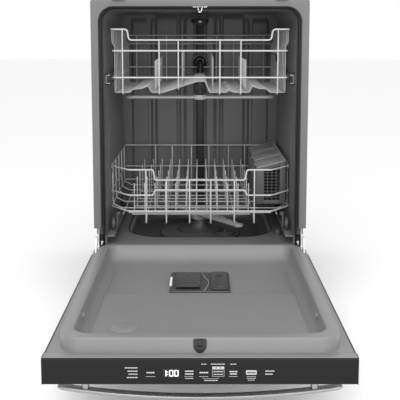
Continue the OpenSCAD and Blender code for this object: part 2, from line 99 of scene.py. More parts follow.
def inset(points, d):
    """A closed outline moved inwards by d, for an outline that runs anticlockwise."""
    out = []
    n = len(points)
    for i, p in enumerate(points):
        a, b = points[i - 1], points[(i + 1) % n]
        ux, uy = p[0] - a[0], p[1] - a[1]
        vx, vy = b[0] - p[0], b[1] - p[1]
        lu, lv = math.hypot(ux, uy) or 1, math.hypot(vx, vy) or 1
        nx, ny = -uy / lu - vy / lv, ux / lu + vx / lv
        size = math.hypot(nx, ny) or 1
        nx, ny = nx / size, ny / size
        along = max(0.3, nx * -uy / lu + ny * ux / lu)
        out.append((p[0] + nx * d / along, p[1] + ny * d / along))
    return out


def soften(points, r, n=3, shut=True):
    """Rounds the corners of a path of 2-D or 3-D points."""
    out = []
    count = len(points)
    for i, p in enumerate(points):
        if not shut and i in (0, count - 1):
            out.append(p)
            continue
        a, b = points[i - 1], points[(i + 1) % count]
        la = math.dist(a, p)
        lb = math.dist(b, p)
        cut = min(r, la * 0.45, lb * 0.45)
        if cut < 1e-6:
            out.append(p)
            continue
        start = [q + (s - q) * cut / la for q, s in zip(p, a)]
        end = [q + (s - q) * cut / lb for q, s in zip(p, b)]
        for k in range(n + 1):
            t = k / n
            out.append(
                tuple(
                    (1 - t) ** 2 * s + 2 * t * (1 - t) * q + t * t * e
                    for s, q, e in zip(start, p, end)
                )
            )
    return out


def oval(n, wide, tall, flat_wide, flat_tall):
    """A closed ring of n points, squarer the nearer the flat values are to zero."""
    out = []
    for k in range(n):
        c, s = math.cos(2 * math.pi * k / n), math.sin(2 * math.pi * k / n)
        u = wide * math.copysign(abs(c) ** flat_wide, c)
        out.append((u, tall * math.copysign(abs(s) ** flat_tall, s)))
    return out


def step(x, lo, hi):
    t = min(1.0, max(0.0, (x - lo) / (hi - lo)))
    return t * t * (3 - 2 * t)


def box_gap(x, y, x0, x1, y0, y1, r):
    """Distance to a rounded rectangle, below zero inside it."""
    dx = abs(x - (x0 + x1) / 2) - (x1 - x0) / 2 + r
    dy = abs(y - (y0 + y1) / 2) - (y1 - y0) / 2 + r
    return math.hypot(max(dx, 0), max(dy, 0)) + min(max(dx, dy), 0) - r


# ---- mesh building ----

AXES = {
    "x": lambda u, v, t: (t, u, v),
    "y": lambda u, v, t: (u, t, v),
    "z": lambda u, v, t: (u, v, t),
}


class Form:
    """Collects the points and faces of one piece, in millimetres from the frame's front."""

    def __init__(self):
        self.v, self.f = [], []

    def loops(self, rings, shut=True, start=False, end=False, back=False):
        base, n, rows = len(self.v), len(rings[0]), len(rings)
        for ring in rings:
            self.v += ring
        for i in range(rows if back else rows - 1):
            a, b = base + i * n, base + (i + 1) % rows * n
            for j in range(n if shut else n - 1):
                k = (j + 1) % n
                self.f.append((a + j, a + k, b + k, b + j))
        if start:
            self.f.append(tuple(base + j for j in reversed(range(n))))
        if end:
            self.f.append(tuple(base + (rows - 1) * n + j for j in range(n)))
        if back and not shut:
            self.f.append(tuple(base + i * n for i in range(rows)))
            self.f.append(tuple(base + i * n + n - 1 for i in reversed(range(rows))))
        return self

    def slab(self, outline, axis, t0, t1, edge=1.0, n=2, lower=True, upper=True):
        """A plate with that outline and softened edges."""
        put = AXES[axis]
        edge = min(edge, (t1 - t0) / 2 - 0.01)
        rows = []
        for i in range(n + 1) if lower else []:
            a = math.pi / 2 * i / n
            rows.append((edge * (1 - math.sin(a)), t0 + edge * (1 - math.cos(a))))
        if not lower:
            rows.append((0, t0))
        for i in range(n + 1) if upper else []:
            a = math.pi / 2 * i / n
            rows.append((edge * (1 - math.cos(a)), t1 - edge * (1 - math.sin(a))))
        if not upper:
            rows.append((0, t1))
        rings = [[put(u, v, t) for u, v in inset(outline, d)] for d, t in rows]
        return self.loops(rings, start=True, end=True)

    def block(self, x0, x1, y0, y1, z0, z1, r=1.0, edge=0.8, axis="z"):
        shape = {
            "z": (x0, x1, y0, y1, z0, z1),
            "y": (x0, x1, z0, z1, y0, y1),
            "x": (y0, y1, z0, z1, x0, x1),
        }[axis]
        return self.slab(rounded(*shape[:4], r, 3), axis, *shape[4:], edge)

    def twin(self, x0, x1, *rest):
        """The same block at the left and at the right."""
        for side in (-1, 1):
            self.block(*sorted((side * x0, side * x1)), *rest)
        return self

    def twin_slab(self, outline, x0, x1, *rest):
        """The same plate, lying across x, at the left and at the right."""
        for side in (-1, 1):
            self.slab(outline, "x", *sorted((side * x0, side * x1)), *rest)
        return self

    def twin_lathe(self, profile, y, z, *rest):
        """The same turned shape about a line along x, at the left and at the right."""
        for side in (-1, 1):
            self.lathe([(r, side * x) for r, x in profile], (0, y, z), "x", *rest)
        return self

    def sweep(self, outline, section, axis, shut=True):
        """outline(s) is a path, section a closed list of (s, t)."""
        put = AXES[axis]
        rings = [[put(u, v, t) for u, v in outline(s)] for s, t in section]
        return self.loops(rings, shut=shut, back=True)

    def lathe(self, profile, centre, axis="z", n=32, cap=(True, True)):
        """profile is a list of (radius, height along the axis)."""
        rings = []
        for r, h in profile:
            ring = []
            for i in range(n):
                a = 2 * math.pi * i / n
                u, v = r * math.cos(a), r * math.sin(a)
                d = {"z": (u, v, h), "y": (u, h, v), "x": (h, u, v)}[axis]
                ring.append(tuple(c + e for c, e in zip(centre, d)))
            rings.append(ring)
        return self.loops(rings, start=cap[0], end=cap[1])

    def tube(self, points, r, sides=8, bend=9, shut=False, turns=4):
        path = soften(points, bend, turns, shut) if bend else list(points)
        path = [p for i, p in enumerate(path) if not i or math.dist(p, path[i - 1]) > 1e-4]
        count = len(path)
        rings, side = [], None
        for i, p in enumerate(path):
            a = path[i - 1] if i or shut else p
            b = path[(i + 1) % count] if i < count - 1 or shut else p
            t = [q - s for s, q in zip(a, b)]
            size = math.hypot(*t)
            t = [q / size for q in t]
            if side is None:
                side = [0, 0, 1] if abs(t[2]) < 0.9 else [1, 0, 0]
            dot = sum(q * s for q, s in zip(side, t))
            side = [s - dot * q for s, q in zip(side, t)]
            size = math.hypot(*side)
            side = [s / size for s in side]
            up = [
                t[1] * side[2] - t[2] * side[1],
                t[2] * side[0] - t[0] * side[2],
                t[0] * side[1] - t[1] * side[0],
            ]
            row = []
            for k in range(sides):
                c, s = math.cos(2 * math.pi * k / sides), math.sin(2 * math.pi * k / sides)
                row.append(tuple(p[m] + r * (c * side[m] + s * up[m]) for m in range(3)))
            rings.append((row, p, t))
        rows = [row for row, _, _ in rings]
        if not shut:
            for at, sign in ((0, -1), (-1, 1)):
                row, p, t = rings[at]
                cap = [
                    tuple(p[m] + 0.6 * (q[m] - p[m]) + sign * 0.6 * r * t[m] for m in range(3))
                    for q in row
                ]
                rows = [cap] + rows if at == 0 else rows + [cap]
        return self.loops(rows, start=not shut, end=not shut, back=shut)

    def grid(self, us, vs, at):
        rings = [[at(u, v) for u in us] for v in vs]
        return self.loops(rings, shut=False)

    def build(self, name, look, body, stands_for=(), smooth=38):
        mesh = bpy.data.meshes.new(name)
        mesh.from_pydata([place(*p) for p in self.v], [], self.f)
        b = bmesh.new()
        b.from_mesh(mesh)
        bmesh.ops.remove_doubles(b, verts=b.verts, dist=1e-6)
        bmesh.ops.recalc_face_normals(b, faces=b.faces)
        b.to_mesh(mesh)
        b.free()
        mesh.shade_smooth()
        mesh.set_sharp_from_angle(angle=math.radians(smooth))
        mesh.materials.append(LOOKS[look])
        piece = bpy.data.objects.new(name, mesh)
        bpy.context.scene.collection.objects.link(piece)
        if body:
            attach(piece, body)
        if stands_for:
            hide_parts(*stands_for)
        return piece


def even(lo, hi, pitch):
    n = max(1, round((hi - lo) / pitch))
    return [lo + (hi - lo) * i / n for i in range(n + 1)]


# ---- materials ----
LOOKS, SLOTS = {}, {}


def node(tree, kind, **values):
    made = tree.nodes.new(kind)
    for key, value in values.items():
        if key in made.inputs:
            made.inputs[key].default_value = value
        else:
            setattr(made, key, value)
    return made


def surface(
    name, slot, grey, rough, metal=0.0, tone=0.06, size=9.0, grain=600.0,
    bump=0.05, stretch=(1, 1, 1), coat=0.0, spread=0.06, mirror=0.5,
):
    """A plain surface with cloudy tone, uneven gloss and a fine grain."""
    look = bpy.data.materials.new(name)
    look.use_nodes = True
    tree = look.node_tree
    shader = tree.nodes["Principled BSDF"]
    shader.inputs["Metallic"].default_value = metal
    shader.inputs["Coat Weight"].default_value = coat
    shader.inputs["Specular IOR Level"].default_value = mirror
    link = tree.links.new
    where = node(tree, "ShaderNodeTexCoord")
    turn = node(tree, "ShaderNodeMapping")
    turn.inputs["Scale"].default_value = stretch
    link(where.outputs["Object"], turn.inputs["Vector"])
    cloud = node(tree, "ShaderNodeTexNoise", Scale=size, Detail=3.0)
    link(where.outputs["Object"], cloud.inputs["Vector"])
    fine = node(tree, "ShaderNodeTexNoise", Scale=grain, Detail=2.0)
    link(turn.outputs["Vector"], fine.inputs["Vector"])
    ramp = node(tree, "ShaderNodeValToRGB")
    low, high = grey * (1 - tone), grey * (1 + tone)
    for stop, at, shade in zip(ramp.color_ramp.elements, (0.3, 0.7), (low, high)):
        stop.position, stop.color = at, (shade, shade, shade, 1)
    both = node(tree, "ShaderNodeMix")
    both.inputs["Factor"].default_value = 0.35
    link(cloud.outputs["Fac"], both.inputs["A"])
    link(fine.outputs["Fac"], both.inputs["B"])
    link(both.outputs["Result"], ramp.inputs["Fac"])
    link(ramp.outputs["Color"], shader.inputs["Base Color"])
    gloss = node(tree, "ShaderNodeMapRange")
    gloss.inputs["To Min"].default_value = max(0.02, rough - spread)
    gloss.inputs["To Max"].default_value = min(1.0, rough + spread)
    link(fine.outputs["Fac"], gloss.inputs["Value"])
    link(gloss.outputs["Result"], shader.inputs["Roughness"])
    relief = node(tree, "ShaderNodeBump", Strength=bump, Distance=0.0004)
    link(fine.outputs["Fac"], relief.inputs["Height"])
    link(relief.outputs["Normal"], shader.inputs["Normal"])
    LOOKS[name], SLOTS[name] = look, slot
    return look


def perforated(name, slot, grey, rough, pitch):
    """A sheet pricked with fine holes in rows."""
    look = surface(name, slot, grey, rough)
    tree = look.node_tree
    link = tree.links.new
    shader = tree.nodes["Principled BSDF"]
    where = node(tree, "ShaderNodeTexCoord")
    cells = node(tree, "ShaderNodeTexVoronoi", Scale=1 / pitch, Randomness=0.0)
    link(where.outputs["Object"], cells.inputs["Vector"])
    hole = node(tree, "ShaderNodeMapRange")
    hole.inputs["From Min"].default_value = 0.22
    hole.inputs["From Max"].default_value = 0.34
    link(cells.outputs["Distance"], hole.inputs["Value"])
    dark = node(tree, "ShaderNodeMix", data_type="RGBA")
    dark.inputs["A"].default_value = (0.01, 0.01, 0.01, 1)
    source = shader.inputs["Base Color"].links[0].from_socket
    link(hole.outputs["Result"], dark.inputs["Factor"])
    link(source, dark.inputs["B"])
    link(dark.outputs["Result"], shader.inputs["Base Color"])
    relief = node(tree, "ShaderNodeBump", Strength=0.6, Distance=0.0006)
    link(hole.outputs["Result"], relief.inputs["Height"])
    link(relief.outputs["Normal"], shader.inputs["Normal"])


def glowing(name, slot, grey, power):
    look = surface(name, slot, grey, 0.5)
    shader = look.node_tree.nodes["Principled BSDF"]
    shader.inputs["Emission Color"].default_value = (1, 1, 1, 1)
    shader.inputs["Emission Strength"].default_value = power


def materials():
    surface("frame", "frame_plastic", 0.118, 0.45, tone=0.05, grain=900)
    # One tub plastic in lit and shaded copies: the back wall and ceiling copies are darker for
    # painted shade, the floor copy lighter for painted light.
    surface("tub", "tub_plastic", 0.16, 0.34, tone=0.1, size=4, grain=700, bump=0.06)
    surface("tub_back", "tub_plastic", 0.13, 0.36, tone=0.1, size=4, grain=700, bump=0.06)
    surface("tub_top", "tub_plastic", 0.11, 0.4, tone=0.1, size=4)
    surface("tub_floor", "tub_plastic", 0.17, 0.3, tone=0.12, size=6)
    # Darker copy of the tub plastic for the sump's sunken faces: painted shade in the recess.
    surface("well", "tub_plastic", 0.06, 0.35, tone=0.15, size=8)
    surface("liner", "liner_plastic", 0.185, 0.4, tone=0.05, size=5, grain=800, bump=0.05)
    surface("seal", "rubber_seal", 0.014, 0.6, tone=0.2, grain=500, bump=0.1)
    surface("dark", "dark_plastic", 0.02, 0.45, tone=0.2)
    surface("grey", "grey_plastic", 0.07, 0.42, tone=0.1)
    surface("port", "grey_plastic", 0.013, 0.3, tone=0.15)
    surface("basket", "basket_plastic", 0.08, 0.4, tone=0.12, grain=500)
    surface("basket_lid", "basket_plastic", 0.31, 0.38, tone=0.08, grain=500)
    surface("dispenser", "grey_plastic", 0.05, 0.36, tone=0.06)
    surface("white", "white_plastic", 0.75, 0.3, tone=0.04)
    surface("print", "white_plastic", 0.42, 0.6, tone=0.08)
    surface("jacket", "jacket_felt", 0.05, 0.95, tone=0.35, size=60, grain=250, bump=0.7)
    surface("base", "base_steel", 0.02, 0.42, tone=0.15)
    surface("zinc", "zinc_steel", 0.5, 0.34, metal=1, tone=0.14, size=40)
    brushed = {"slot": "panel_steel", "metal": 1, "grain": 30}
    along_x, along_y = (1, 60, 60), (60, 1, 60)
    surface("steel", grey=0.5, rough=0.3, stretch=along_x, bump=0.04, **brushed)
    # The handle takes a darker copy of the door's brushed steel: painted shade.
    surface("bar", grey=0.34, rough=0.26, tone=0.05, stretch=along_x, bump=0.03, **brushed)
    surface("rail", grey=0.5, rough=0.3, stretch=along_y, bump=0.03, **brushed)
    surface("fascia", "fascia_dark", 0.007, 0.5, tone=0.1, grain=900, bump=0.03, mirror=0.2)
    surface("display", "display_black", 0.006, 0.14, tone=0.2, bump=0.0)
    surface("chrome", "chrome_trim", 0.85, 0.1, metal=1, tone=0.05, bump=0.01, spread=0.03)
    surface("wire", "coated_wire", 0.45, 0.3, tone=0.07, size=20, grain=500, coat=0.3)
    surface("rib", "coated_wire", 0.37, 0.3, tone=0.07, size=20, grain=500, coat=0.3)
    surface("arm", "arm_plastic", 0.3, 0.33, tone=0.06)
    # The upper arm's copy of the arm plastic: a real glossier coat, and a lighter grey as painted
    # highlight.
    surface("arm_gloss_highlight", "arm_plastic", 0.42, 0.22, tone=0.06, coat=0.4)
    surface("wheel", "basket_plastic", 0.1, 0.45, tone=0.1)
    perforated("mesh_plate", "grey_plastic", 0.09, 0.4, 0.0045)
    glowing("digits", "white_plastic", 0.9, 1.6)


# ---- cabinet ----


def doorway(half, low, top, r, n=10):
    """An open path up the left, round the top corners and down the right."""
    return (
        [(-half, low)]
        + arc(-half + r, top - r, r, 180, 90, n)
        + arc(half - r, top - r, r, 90, 0, n)
        + [(half, low)]
    )


def frame_path(low):
    """Paths round the opening, by distance in from the frame's outer edge."""
    hi = span("front_frame")[1]

    def path(o):
        r = min(6 + 1.8 * o, 42) - max(0, o - 20) * 0.76
        return doorway(hi[0] - o, low, hi[2] - 0.9 * o, r)

    return path


def front_frame():
    lo = span("front_frame")[0]
    sill = span("door_gasket")[0][2]
    face = soften([(0, 36.6), (0, 0), (20, 0), (20, 36.6)], 1.8, 3)
    piece = Form().sweep(frame_path(lo[2] + 26), face, "y", shut=False)
    back = [(4, 34), (30.5, 34), (30.5, 36.9), (4, 36.9)]
    piece.sweep(frame_path(sill), back, "y", shut=False)
    piece.build("front_frame_trim", "frame", "cabinet", ["front_frame"])


def gasket():
    sill = span("door_gasket")[0][2]
    bulb = [(20.4, 34), (20.4, 29.7), (22.5, 28.6), (24.4, 29.6), (25.4, 31.2)]
    lip = [(26.6, 29.2), (28.6, 28.8), (30.4, 30), (30.4, 34)]
    Form().sweep(frame_path(sill), bulb + lip, "y", shut=False).build(
        "gasket", "seal", "cabinet", ["door_gasket"], smooth=60
    )


def tub_path(half, low, top, r):
    side = even(low, top - r, 9)
    left = [(-half, z) for z in side[:-1]]
    right = [(half, z) for z in reversed(side[:-1])]
    ceiling = [(x, top) for x in even(-half + r, half - r, 12)][1:-1]
    return (
        left
        + arc(-half + r, top - r, r, 180, 90, 8)
        + ceiling
        + arc(half - r, top - r, r, 90, 0, 8)
        + right
    )


def wall_relief(y, z):
    """How far the pressed arch of a side wall stands into the tub."""
    gap = box_gap(y, z, 107, 552, 205, 510, 60)
    return 3.8 * (1 - step(gap, -4, 3))


def tub_shell():
    lo, hi = span("tub_wrap")
    half, top, y0, y1 = hi[0] - 3, hi[2] - 3, lo[1], hi[1]
    low = lo[2]
    path = tub_path(half, low, top, 34)
    rings = []
    for y in even(y0, y1, 8):
        ring = []
        for x, z in path:
            push = wall_relief(y, z) if abs(abs(x) - half) < 0.01 else 0
            ring.append((x - math.copysign(push, x), y, z))
        rings.append(ring)
    piece = Form().loops(rings, shut=False)
    skin = doorway(half + 2.9, low, top + 2.9, 37)
    piece.loops([[(x, y, z) for x, z in skin] for y in (y0, y1)], shut=False)
    inner = doorway(half, low, top, 34)
    piece.loops([[(x, y0, z) for x, z in inner], [(x, y0, z) for x, z in skin]], shut=False)
    track = span("front_wheels")[0][2] - 0.1
    piece.twin(246.3, half, y0 + 3, 556, track - 4, track, 3, 1.6)
    piece.build("tub_lining", "tub", "cabinet", ["tub_wrap"], smooth=50)


def back_wall():
    lo, hi = span("tub_back_wall")
    half, low, top, y1 = hi[0] - 3, lo[2], hi[2] - 3, hi[1] - 3
    ribs = [(182, 236, 814), (156, 169, 814), (79, 152, 828), (55, 70, 828), (21, 50, 828)]

    def at(x, z):
        up = 0
        for x0, x1, crest in ribs:
            gap = box_gap(abs(x), z, x0, x1, 205, crest, min(6, (x1 - x0) / 3))
            up = max(up, 1 - step(gap, -2.2, 1.6))
        return (x, y1 - 5 * up, z)

    piece = Form().grid(even(-half, half, 2.6), even(low, top, 7), at)
    plain = rounded(-half - 2.5, half + 2.5, low, hi[2] - 0.5, 30, 8)
    piece.loops([[(x, hi[1], z) for x, z in plain]], end=True)
    # The back wall takes the darker copy of the tub plastic: painted shade.
    piece.build("back_lining", "tub_back", "cabinet", ["tub_back_wall"], smooth=60)


def tub_base():
    lo, hi = span("tub_floor")
    well_lo, well_hi = span("sump_tray")
    x0, x1 = well_lo[0] + 3, well_hi[0] - 3
    y0, y1 = well_lo[1] + 3, well_hi[1] - 3
    deep = well_lo[2] + 3

    def height(x, y):
        gap = box_gap(x, y, x0, x1, y0, y1, 105)
        fall = 1 - step(gap, -22, 3)
        return hi[2] - (hi[2] - deep) * fall

    def at(x, y):
        if y < lo[1] + 0.1:
            return (x, lo[1], lo[2])
        return (x, y, height(x, y) - 1.5 * (1 - step(y, lo[1], lo[1] + 7)))

    ys = [lo[1], lo[1] + 0.2] + even(lo[1] + 3, hi[1], 5)
    # The floor takes the lighter copy of the tub plastic: painted light.
    piece = Form().grid(even(lo[0], hi[0], 5), ys, at).build(
        "tub_sill", "tub_floor", "cabinet", ["tub_floor", "sump_tray"], smooth=60
    )
    # Faces more than 7 mm below the top of the floor, down in the sump, take the darker copy:
    # painted shade.
    piece.data.materials.append(LOOKS["well"])
    for face in piece.data.polygons:
        face.material_index = int(face.center.z < (hi[2] - 7) * MM)


def filter_centre():
    return (0, middle("filter_plate")[1], 0)


def well_rings():
    """A painted shadow line round the sump's edge, and the dark joints round the filter."""
    edge = span("tub_floor")[1][2]
    lo, hi = span("sump_tray")
    rings = Form()
    outline = rounded(lo[0], hi[0], lo[1], hi[1], 107, 14)
    # A dark tube along the sump's edge: painted shadow.
    rings.tube([(x, y, edge - 0.4) for x, y in outline], 2.2, 6, 0, shut=True)
    z = span("filter_plate")[0][2]
    for r, up in ((127.5, 5), (69, 13)):
        ring = [(r - 2, z + up - 0.8), (r - 1, z + up + 0.7), (r + 1, z + up + 0.7)]
        ring.append((r + 2, z + up - 0.8))
        rings.lathe(ring, filter_centre(), n=64, cap=(False, False))
    rings.build("well_seams", "dark", "cabinet")


def filter_parts():
    z = span("filter_plate")[0][2]
    rim = [(129.9, z - 2), (129.9, z + 3), (127, z + 5), (118, z + 5), (114, z + 4)]
    dome = [(108, z + 5), (92, z + 8.5), (74, z + 12), (68, z + 12.8)]
    Form().lathe(rim + dome, filter_centre(), n=64, cap=(False, False)).build(
        "filter_sheet", "mesh_plate", "cabinet", ["filter_plate"]
    )
    hub = [(68, z + 12.6), (66, z + 14.5), (40, z + 16), (30, z + 20), (24, z + 30)]
    hub += [(22.6, z + 34), (22.6, z + 44), (22, z + 46)]
    Form().lathe(hub, filter_centre(), n=48).build("sump_riser", "grey", "cabinet")
    lo, hi = span("cylinder_filter")
    at, top = middle("cylinder_filter"), hi[2] - 8
    cup = [(32, lo[2]), (32, top - 5), (36, top - 4), (36, top), (33, top + 1.2)]
    cup += [(29.5, top), (29, top - 8), (27, top - 40), (5, top - 42)]
    piece = Form().lathe(cup, at, n=40)
    grip = (at[0] - 4, at[0] + 4, at[1] - 30, at[1] + 30)
    piece.block(*grip, top - 9, hi[2], 3, 2)
    piece.build("filter_cup", "grey", "cylinder_filter", ["cylinder_filter"])
    lo, hi = span("float_cup")
    top = hi[2]
    dome = [(9, lo[2]), (9, top - 5), (8, top - 2.5), (6, top - 0.8), (2, top)]
    Form().lathe(dome, middle("float_cup"), n=28).build(
        "float_dome", "grey", "float_cup", ["float_cup"]
    )


def water_conduit():
    lo, hi = span("spray_conduit")
    y = hi[1]
    piece = Form()
    duct = rounded(-13, 13, 552, y - 0.5, 4, 3)
    piece.slab(duct, "z", lo[2] + 0.5, hi[2] - 1, 3)
    ceiling = rounded(-11, 11, 812.5, hi[2] - 0.4, 5, 3)
    piece.slab(ceiling, "y", lo[1] + 14, 556, 4)
    hub = (0, lo[1] + 28, 0)
    head = [(10, 814), (26, 812.6), (28, 809), (27, 802), (18, 800.4)]
    head += [(17, 797.5), (12, 796.2), (3, 796)]
    piece.lathe(head, hub, n=32)
    piece.build("water_duct", "dark", "cabinet", ["spray_conduit"])
    dot = (0, hub[1] - 26.5, 806)
    Form().lathe([(2.6, -1.6), (2.4, -0.4), (1.2, 0)], dot, "y", 12).build(
        "duct_pin", "white", "cabinet"
    )
    port = span("feed_tube")[1]
    z = port[2] - 11
    face = [(10.2, 545), (10.2, port[1] + 0.6), (14, port[1] + 0.4), (19, 543.5)]
    face += [(21, 547), (21.4, 549), (25, 549.6), (26, 552), (24, 553)]
    Form().lathe(face, (0, 0, z), "y", 40, cap=(True, False)).build(
        "rack_dock", "port", "cabinet"
    )


def strike():
    lo, hi = span("strike_plate")
    plate = Form().block(lo[0], hi[0], lo[1], hi[1], hi[2] - 2, hi[2], 3, 0.6)
    z = lo[2] + 1.5
    loop = [(-7, 13.5, hi[2] - 1), (-3.2, 13.5, z + 3), (-3, 10.5, z)]
    loop += [(3, 10.5, z), (3.2, 13.5, z + 3), (7, 13.5, hi[2] - 1)]
    plate.tube(loop, 1.4, 8, 3)
    for side in (-1, 1):
        head = (side * 15, (lo[1] + hi[1]) / 2, 0)
        plate.lathe([(4, hi[2] - 2), (3.6, hi[2] - 3), (1, hi[2] - 3.6)], head, n=16)
    plate.build("strike_loop", "chrome", "cabinet", ["strike_plate"])
    slot = (-30, 30, 2.6, 31, hi[2] - 0.9, hi[2] + 0.4)
    Form().block(*slot, 6, 0.3).build("strike_slot", "dark", "cabinet")


HINGE = (-19, 143)


def hinge_hardware():
    hi = span("hinge_brackets")[1]
    y, z = HINGE
    plate = [(y - 9, z - 9), (58, z - 9), (58, hi[2]), (16, hi[2]), (16, z + 22)]
    plate += [(y + 4, z + 9), (y - 9, z + 9)]
    piece = Form().twin_slab(soften(plate, 5, 3), hi[0] - 10, hi[0] - 7, 0.5)
    for up in (42, 62):
        piece.twin_lathe([(3.6, 290), (3.2, 292), (1, 292.6)], 34, z + up, 14)
    piece.twin_lathe([(3, 289), (3, 296.8), (1, 297)], y, z, 16)
    piece.build("hinge_plates", "zinc", "cabinet", ["hinge_brackets"])
    arm = [(-150, z - 10), (y, z - 12), (y + 10, z - 7), (y + 12, z + 2)]
    arm += [(6, 191), (5, 200), (-5, 201), (-8, 194), (y - 9, z + 10), (-150, z + 10)]
    lever = Form().twin_slab(soften(arm, 5, 3), 291, 295, 0.6)
    lever.twin(295, 300.2, -150, -70, z - 9, z + 9, 2, 0.4, "x")
    lever.build("hinge_levers", "zinc", "door", ["hinge_arms"])


def door_springs():
    for side, name in ((-1, "left"), (1, "right")):
        x = side * 297
        start, end = (x, 2, 195), (x, 418, 62)
        length = math.dist(start[1:], end[1:])
        dy, dz = (end[1] - start[1]) / length, (end[2] - start[2]) / length
        points = [start]
        turns, steps = 46, 8
        a0, a1 = length * 0.3, length * 0.8
        for i in range(turns * steps + 1):
            s = a0 + (a1 - a0) * i / (turns * steps)
            a = 2 * math.pi * i / steps
            u, w = 2.3 * math.cos(a), 2.3 * math.sin(a)
            points.append((x + u, start[1] + dy * s - dz * w, start[2] + dz * s + dy * w))
        points.append(end)
        coil = Form().tube(points, 0.8, 5, 0)
        piece = coil.build(f"door_spring_{name}", "zinc", None, ["door_springs"])
        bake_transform(piece)


def brackets_and_feet():
    lo, hi = span("mounting_brackets")
    tabs = Form().twin(206, 240, lo[1], hi[1], hi[2] - 1.6, hi[2], 4, 0.4)
    tabs.twin(206, 240, hi[1] - 2, hi[1], lo[2], hi[2] - 0.4, 2, 0.4, "y")
    tabs.build("counter_tabs", "zinc", "cabinet", ["mounting_brackets"])
    holes = Form()
    ring = [(2.75, -1.7), (3.6, -1.75), (3.6, 0.08), (2.75, 0.06), (2.75, -1.7)]
    for x in (-223, 223):
        holes.lathe(ring, (x, -7, hi[2]), n=24, cap=(False, False))
        holes.lathe([(2.7, -1.62), (2.7, 0.03)], (x, -7, hi[2]), n=24)
    holes.build("tab_holes", "dark", "cabinet")
    feet = Form()
    pad = [(16, 0), (16, 3), (14, 5), (8, 6), (8, 9), (5.2, 9.5)]
    thread = [(5.2 - 0.6 * (i % 2), 10 + i * 0.75) for i in range(20)]
    for x in (-268, 268):
        for y in (60, 560):
            feet.lathe(pad + thread, (x, y, 0), n=24)
    feet.build("feet", "zinc", "cabinet", ["levelling_feet"])


def dress(name, look, bevel=0.6):
    """A CAD node shown as it is, with its finish and softened edges."""
    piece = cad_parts[name]
    piece.data.materials.clear()
    piece.data.materials.append(LOOKS[look])
    soft = piece.modifiers.new("edge", "BEVEL")
    soft.width = bevel * MM
    soft.segments = 2
    soft.limit_method = "ANGLE"
    soft.angle_limit = math.radians(40)


def jackets():
    lo, hi = span("side_jackets")
    flank = rounded(lo[1] + 1, hi[1] - 8, lo[2], 788, 14)
    sides = Form().twin_slab(flank, 272.9, hi[0], 6, 4)
    sides.slab(rounded(-250, 250, lo[1], hi[1] - 6, 12), "z", 838, hi[2], 5, 4)
    sides.slab(rounded(lo[0], hi[0], 250, 828, 14), "y", 573.4, hi[1], 7, 4)
    sides.build("sound_jacket", "jacket", "cabinet", ["side_jackets"])


def base_parts():
    for name, look in (
        ("base_frame", "base"),
        ("toe_kick_panel", "base"),
        ("sump_housing", "grey"),
        ("circulation_pump", "dark"),
        ("drain_pump", "dark"),
        ("inlet_valve", "white"),
        ("junction_box", "zinc"),
    ):
        dress(name, look)


def rack_slides():
    lo, hi = span("rail_right")
    for side, name in ((-1, "left"), (1, "right")):
        x0, x1 = lo[0], hi[0]
        lip = [(x0, lo[2]), (x1, lo[2]), (x1, hi[2]), (x0, hi[2]), (x0, hi[2] - 1.5)]
        lip += [(x1 - 1.5, hi[2] - 1.5), (x1 - 1.5, lo[2] + 1.5), (x0, lo[2] + 1.5)]
        if side < 0:
            lip = [(-x, z) for x, z in reversed(lip)]
        piece = Form().slab(soften(lip, 0.8, 2), "y", lo[1], hi[1], 0.4)
        piece.build(f"slide_{name}", "rail", f"rail_{name}", [f"rail_{name}"])
    lo, hi = span("rail_guides")
    guides = Form()
    for y in (70, 250):
        for z in (lo[2], hi[2] - 5.7):
            guides.twin(256, 269.4, y, y + 30, z, z + 5.7, 1.5, 1, "y")
        guides.twin(267.9, 269.4, y, y + 30, lo[2] + 2, hi[2] - 2, 1, 0.5, "y")
    guides.build("slide_guides", "dark", "cabinet", ["rail_guides"])


# ---- door ----


def liner():
    lo, hi = span("inner_liner")
    flange, ring = 159, hi[2]
    outer = (-276, 276, -712, -43, 46)
    inner = (-249.5, 249.5, -685, -62, 34)
    n, lip = 10, 2.6

    def path(box, d, z):
        x0, x1, y0, y1, r = box
        outline = rounded(x0 + d, x1 - d, y0 + d, y1 - d, max(r - d, 4), n)
        return [(x, y, z) for x, y in outline]

    def edge(z, r=3):
        outline = rounded(lo[0] + 0.8, hi[0] - 0.8, lo[1] + 0.6, hi[1] - 0.4, r, n)
        return [(x, y, z) for x, y in outline]

    rows = [edge(flange - 2.6), edge(flange)]
    rows += [path(outer, -3, flange), path(outer, -0.8, flange + 0.8)]
    rows += [path(outer, 0, flange + 3), path(outer, 0.6, ring - 5)]
    bend = arc(0, 0, lip, 0, 90, 3)
    for c, s in bend:
        rows.append(path(outer, 0.8 + lip - c, ring - lip + s))
    for c, s in reversed(bend):
        rows.append(path(inner, c - lip - 0.6, ring - lip + s))
    rows.append(path(inner, 0.6, ring - 8))
    x0, x1, y0, y1, r = inner
    far = 1.6  # the slope at the hinge side is that much longer
    for d, up in ((3.5, 16), (6, 9), (10.5, 4), (17, 1.2), (25, 0.02)):
        outline = rounded(x0 + d, x1 - d, y0 + d, y1 - far * d, max(r - d * 0.3, 8), n)
        rows.append([(x, y, basin_floor(y) + up) for x, y in outline])
    piece = Form().loops(rows)
    cove, corner = 24, 27
    x1, y0, y1 = x1 - cove, y0 + cove, y1 - far * cove

    def at(u, y):
        into = min(y - y0, y1 - y, corner)
        squeeze = corner - math.sqrt(max(0, corner**2 - (corner - into) ** 2))
        x = u * (x1 - squeeze)
        return (x, y, basin_floor(y))

    piece.grid([i / 60 for i in range(-60, 61)], even(y0, y1, 6), at)
    piece.build("door_lining", "liner", "door", ["inner_liner"], smooth=50)


def basin_floor(y):
    """Height of the basin floor: a step down towards the hinge, then a rise at its edge."""
    shelf = 154 - 4 * step(y, -349, -333)
    rear = 7 * step(y, -92, -66)
    return shelf + rear


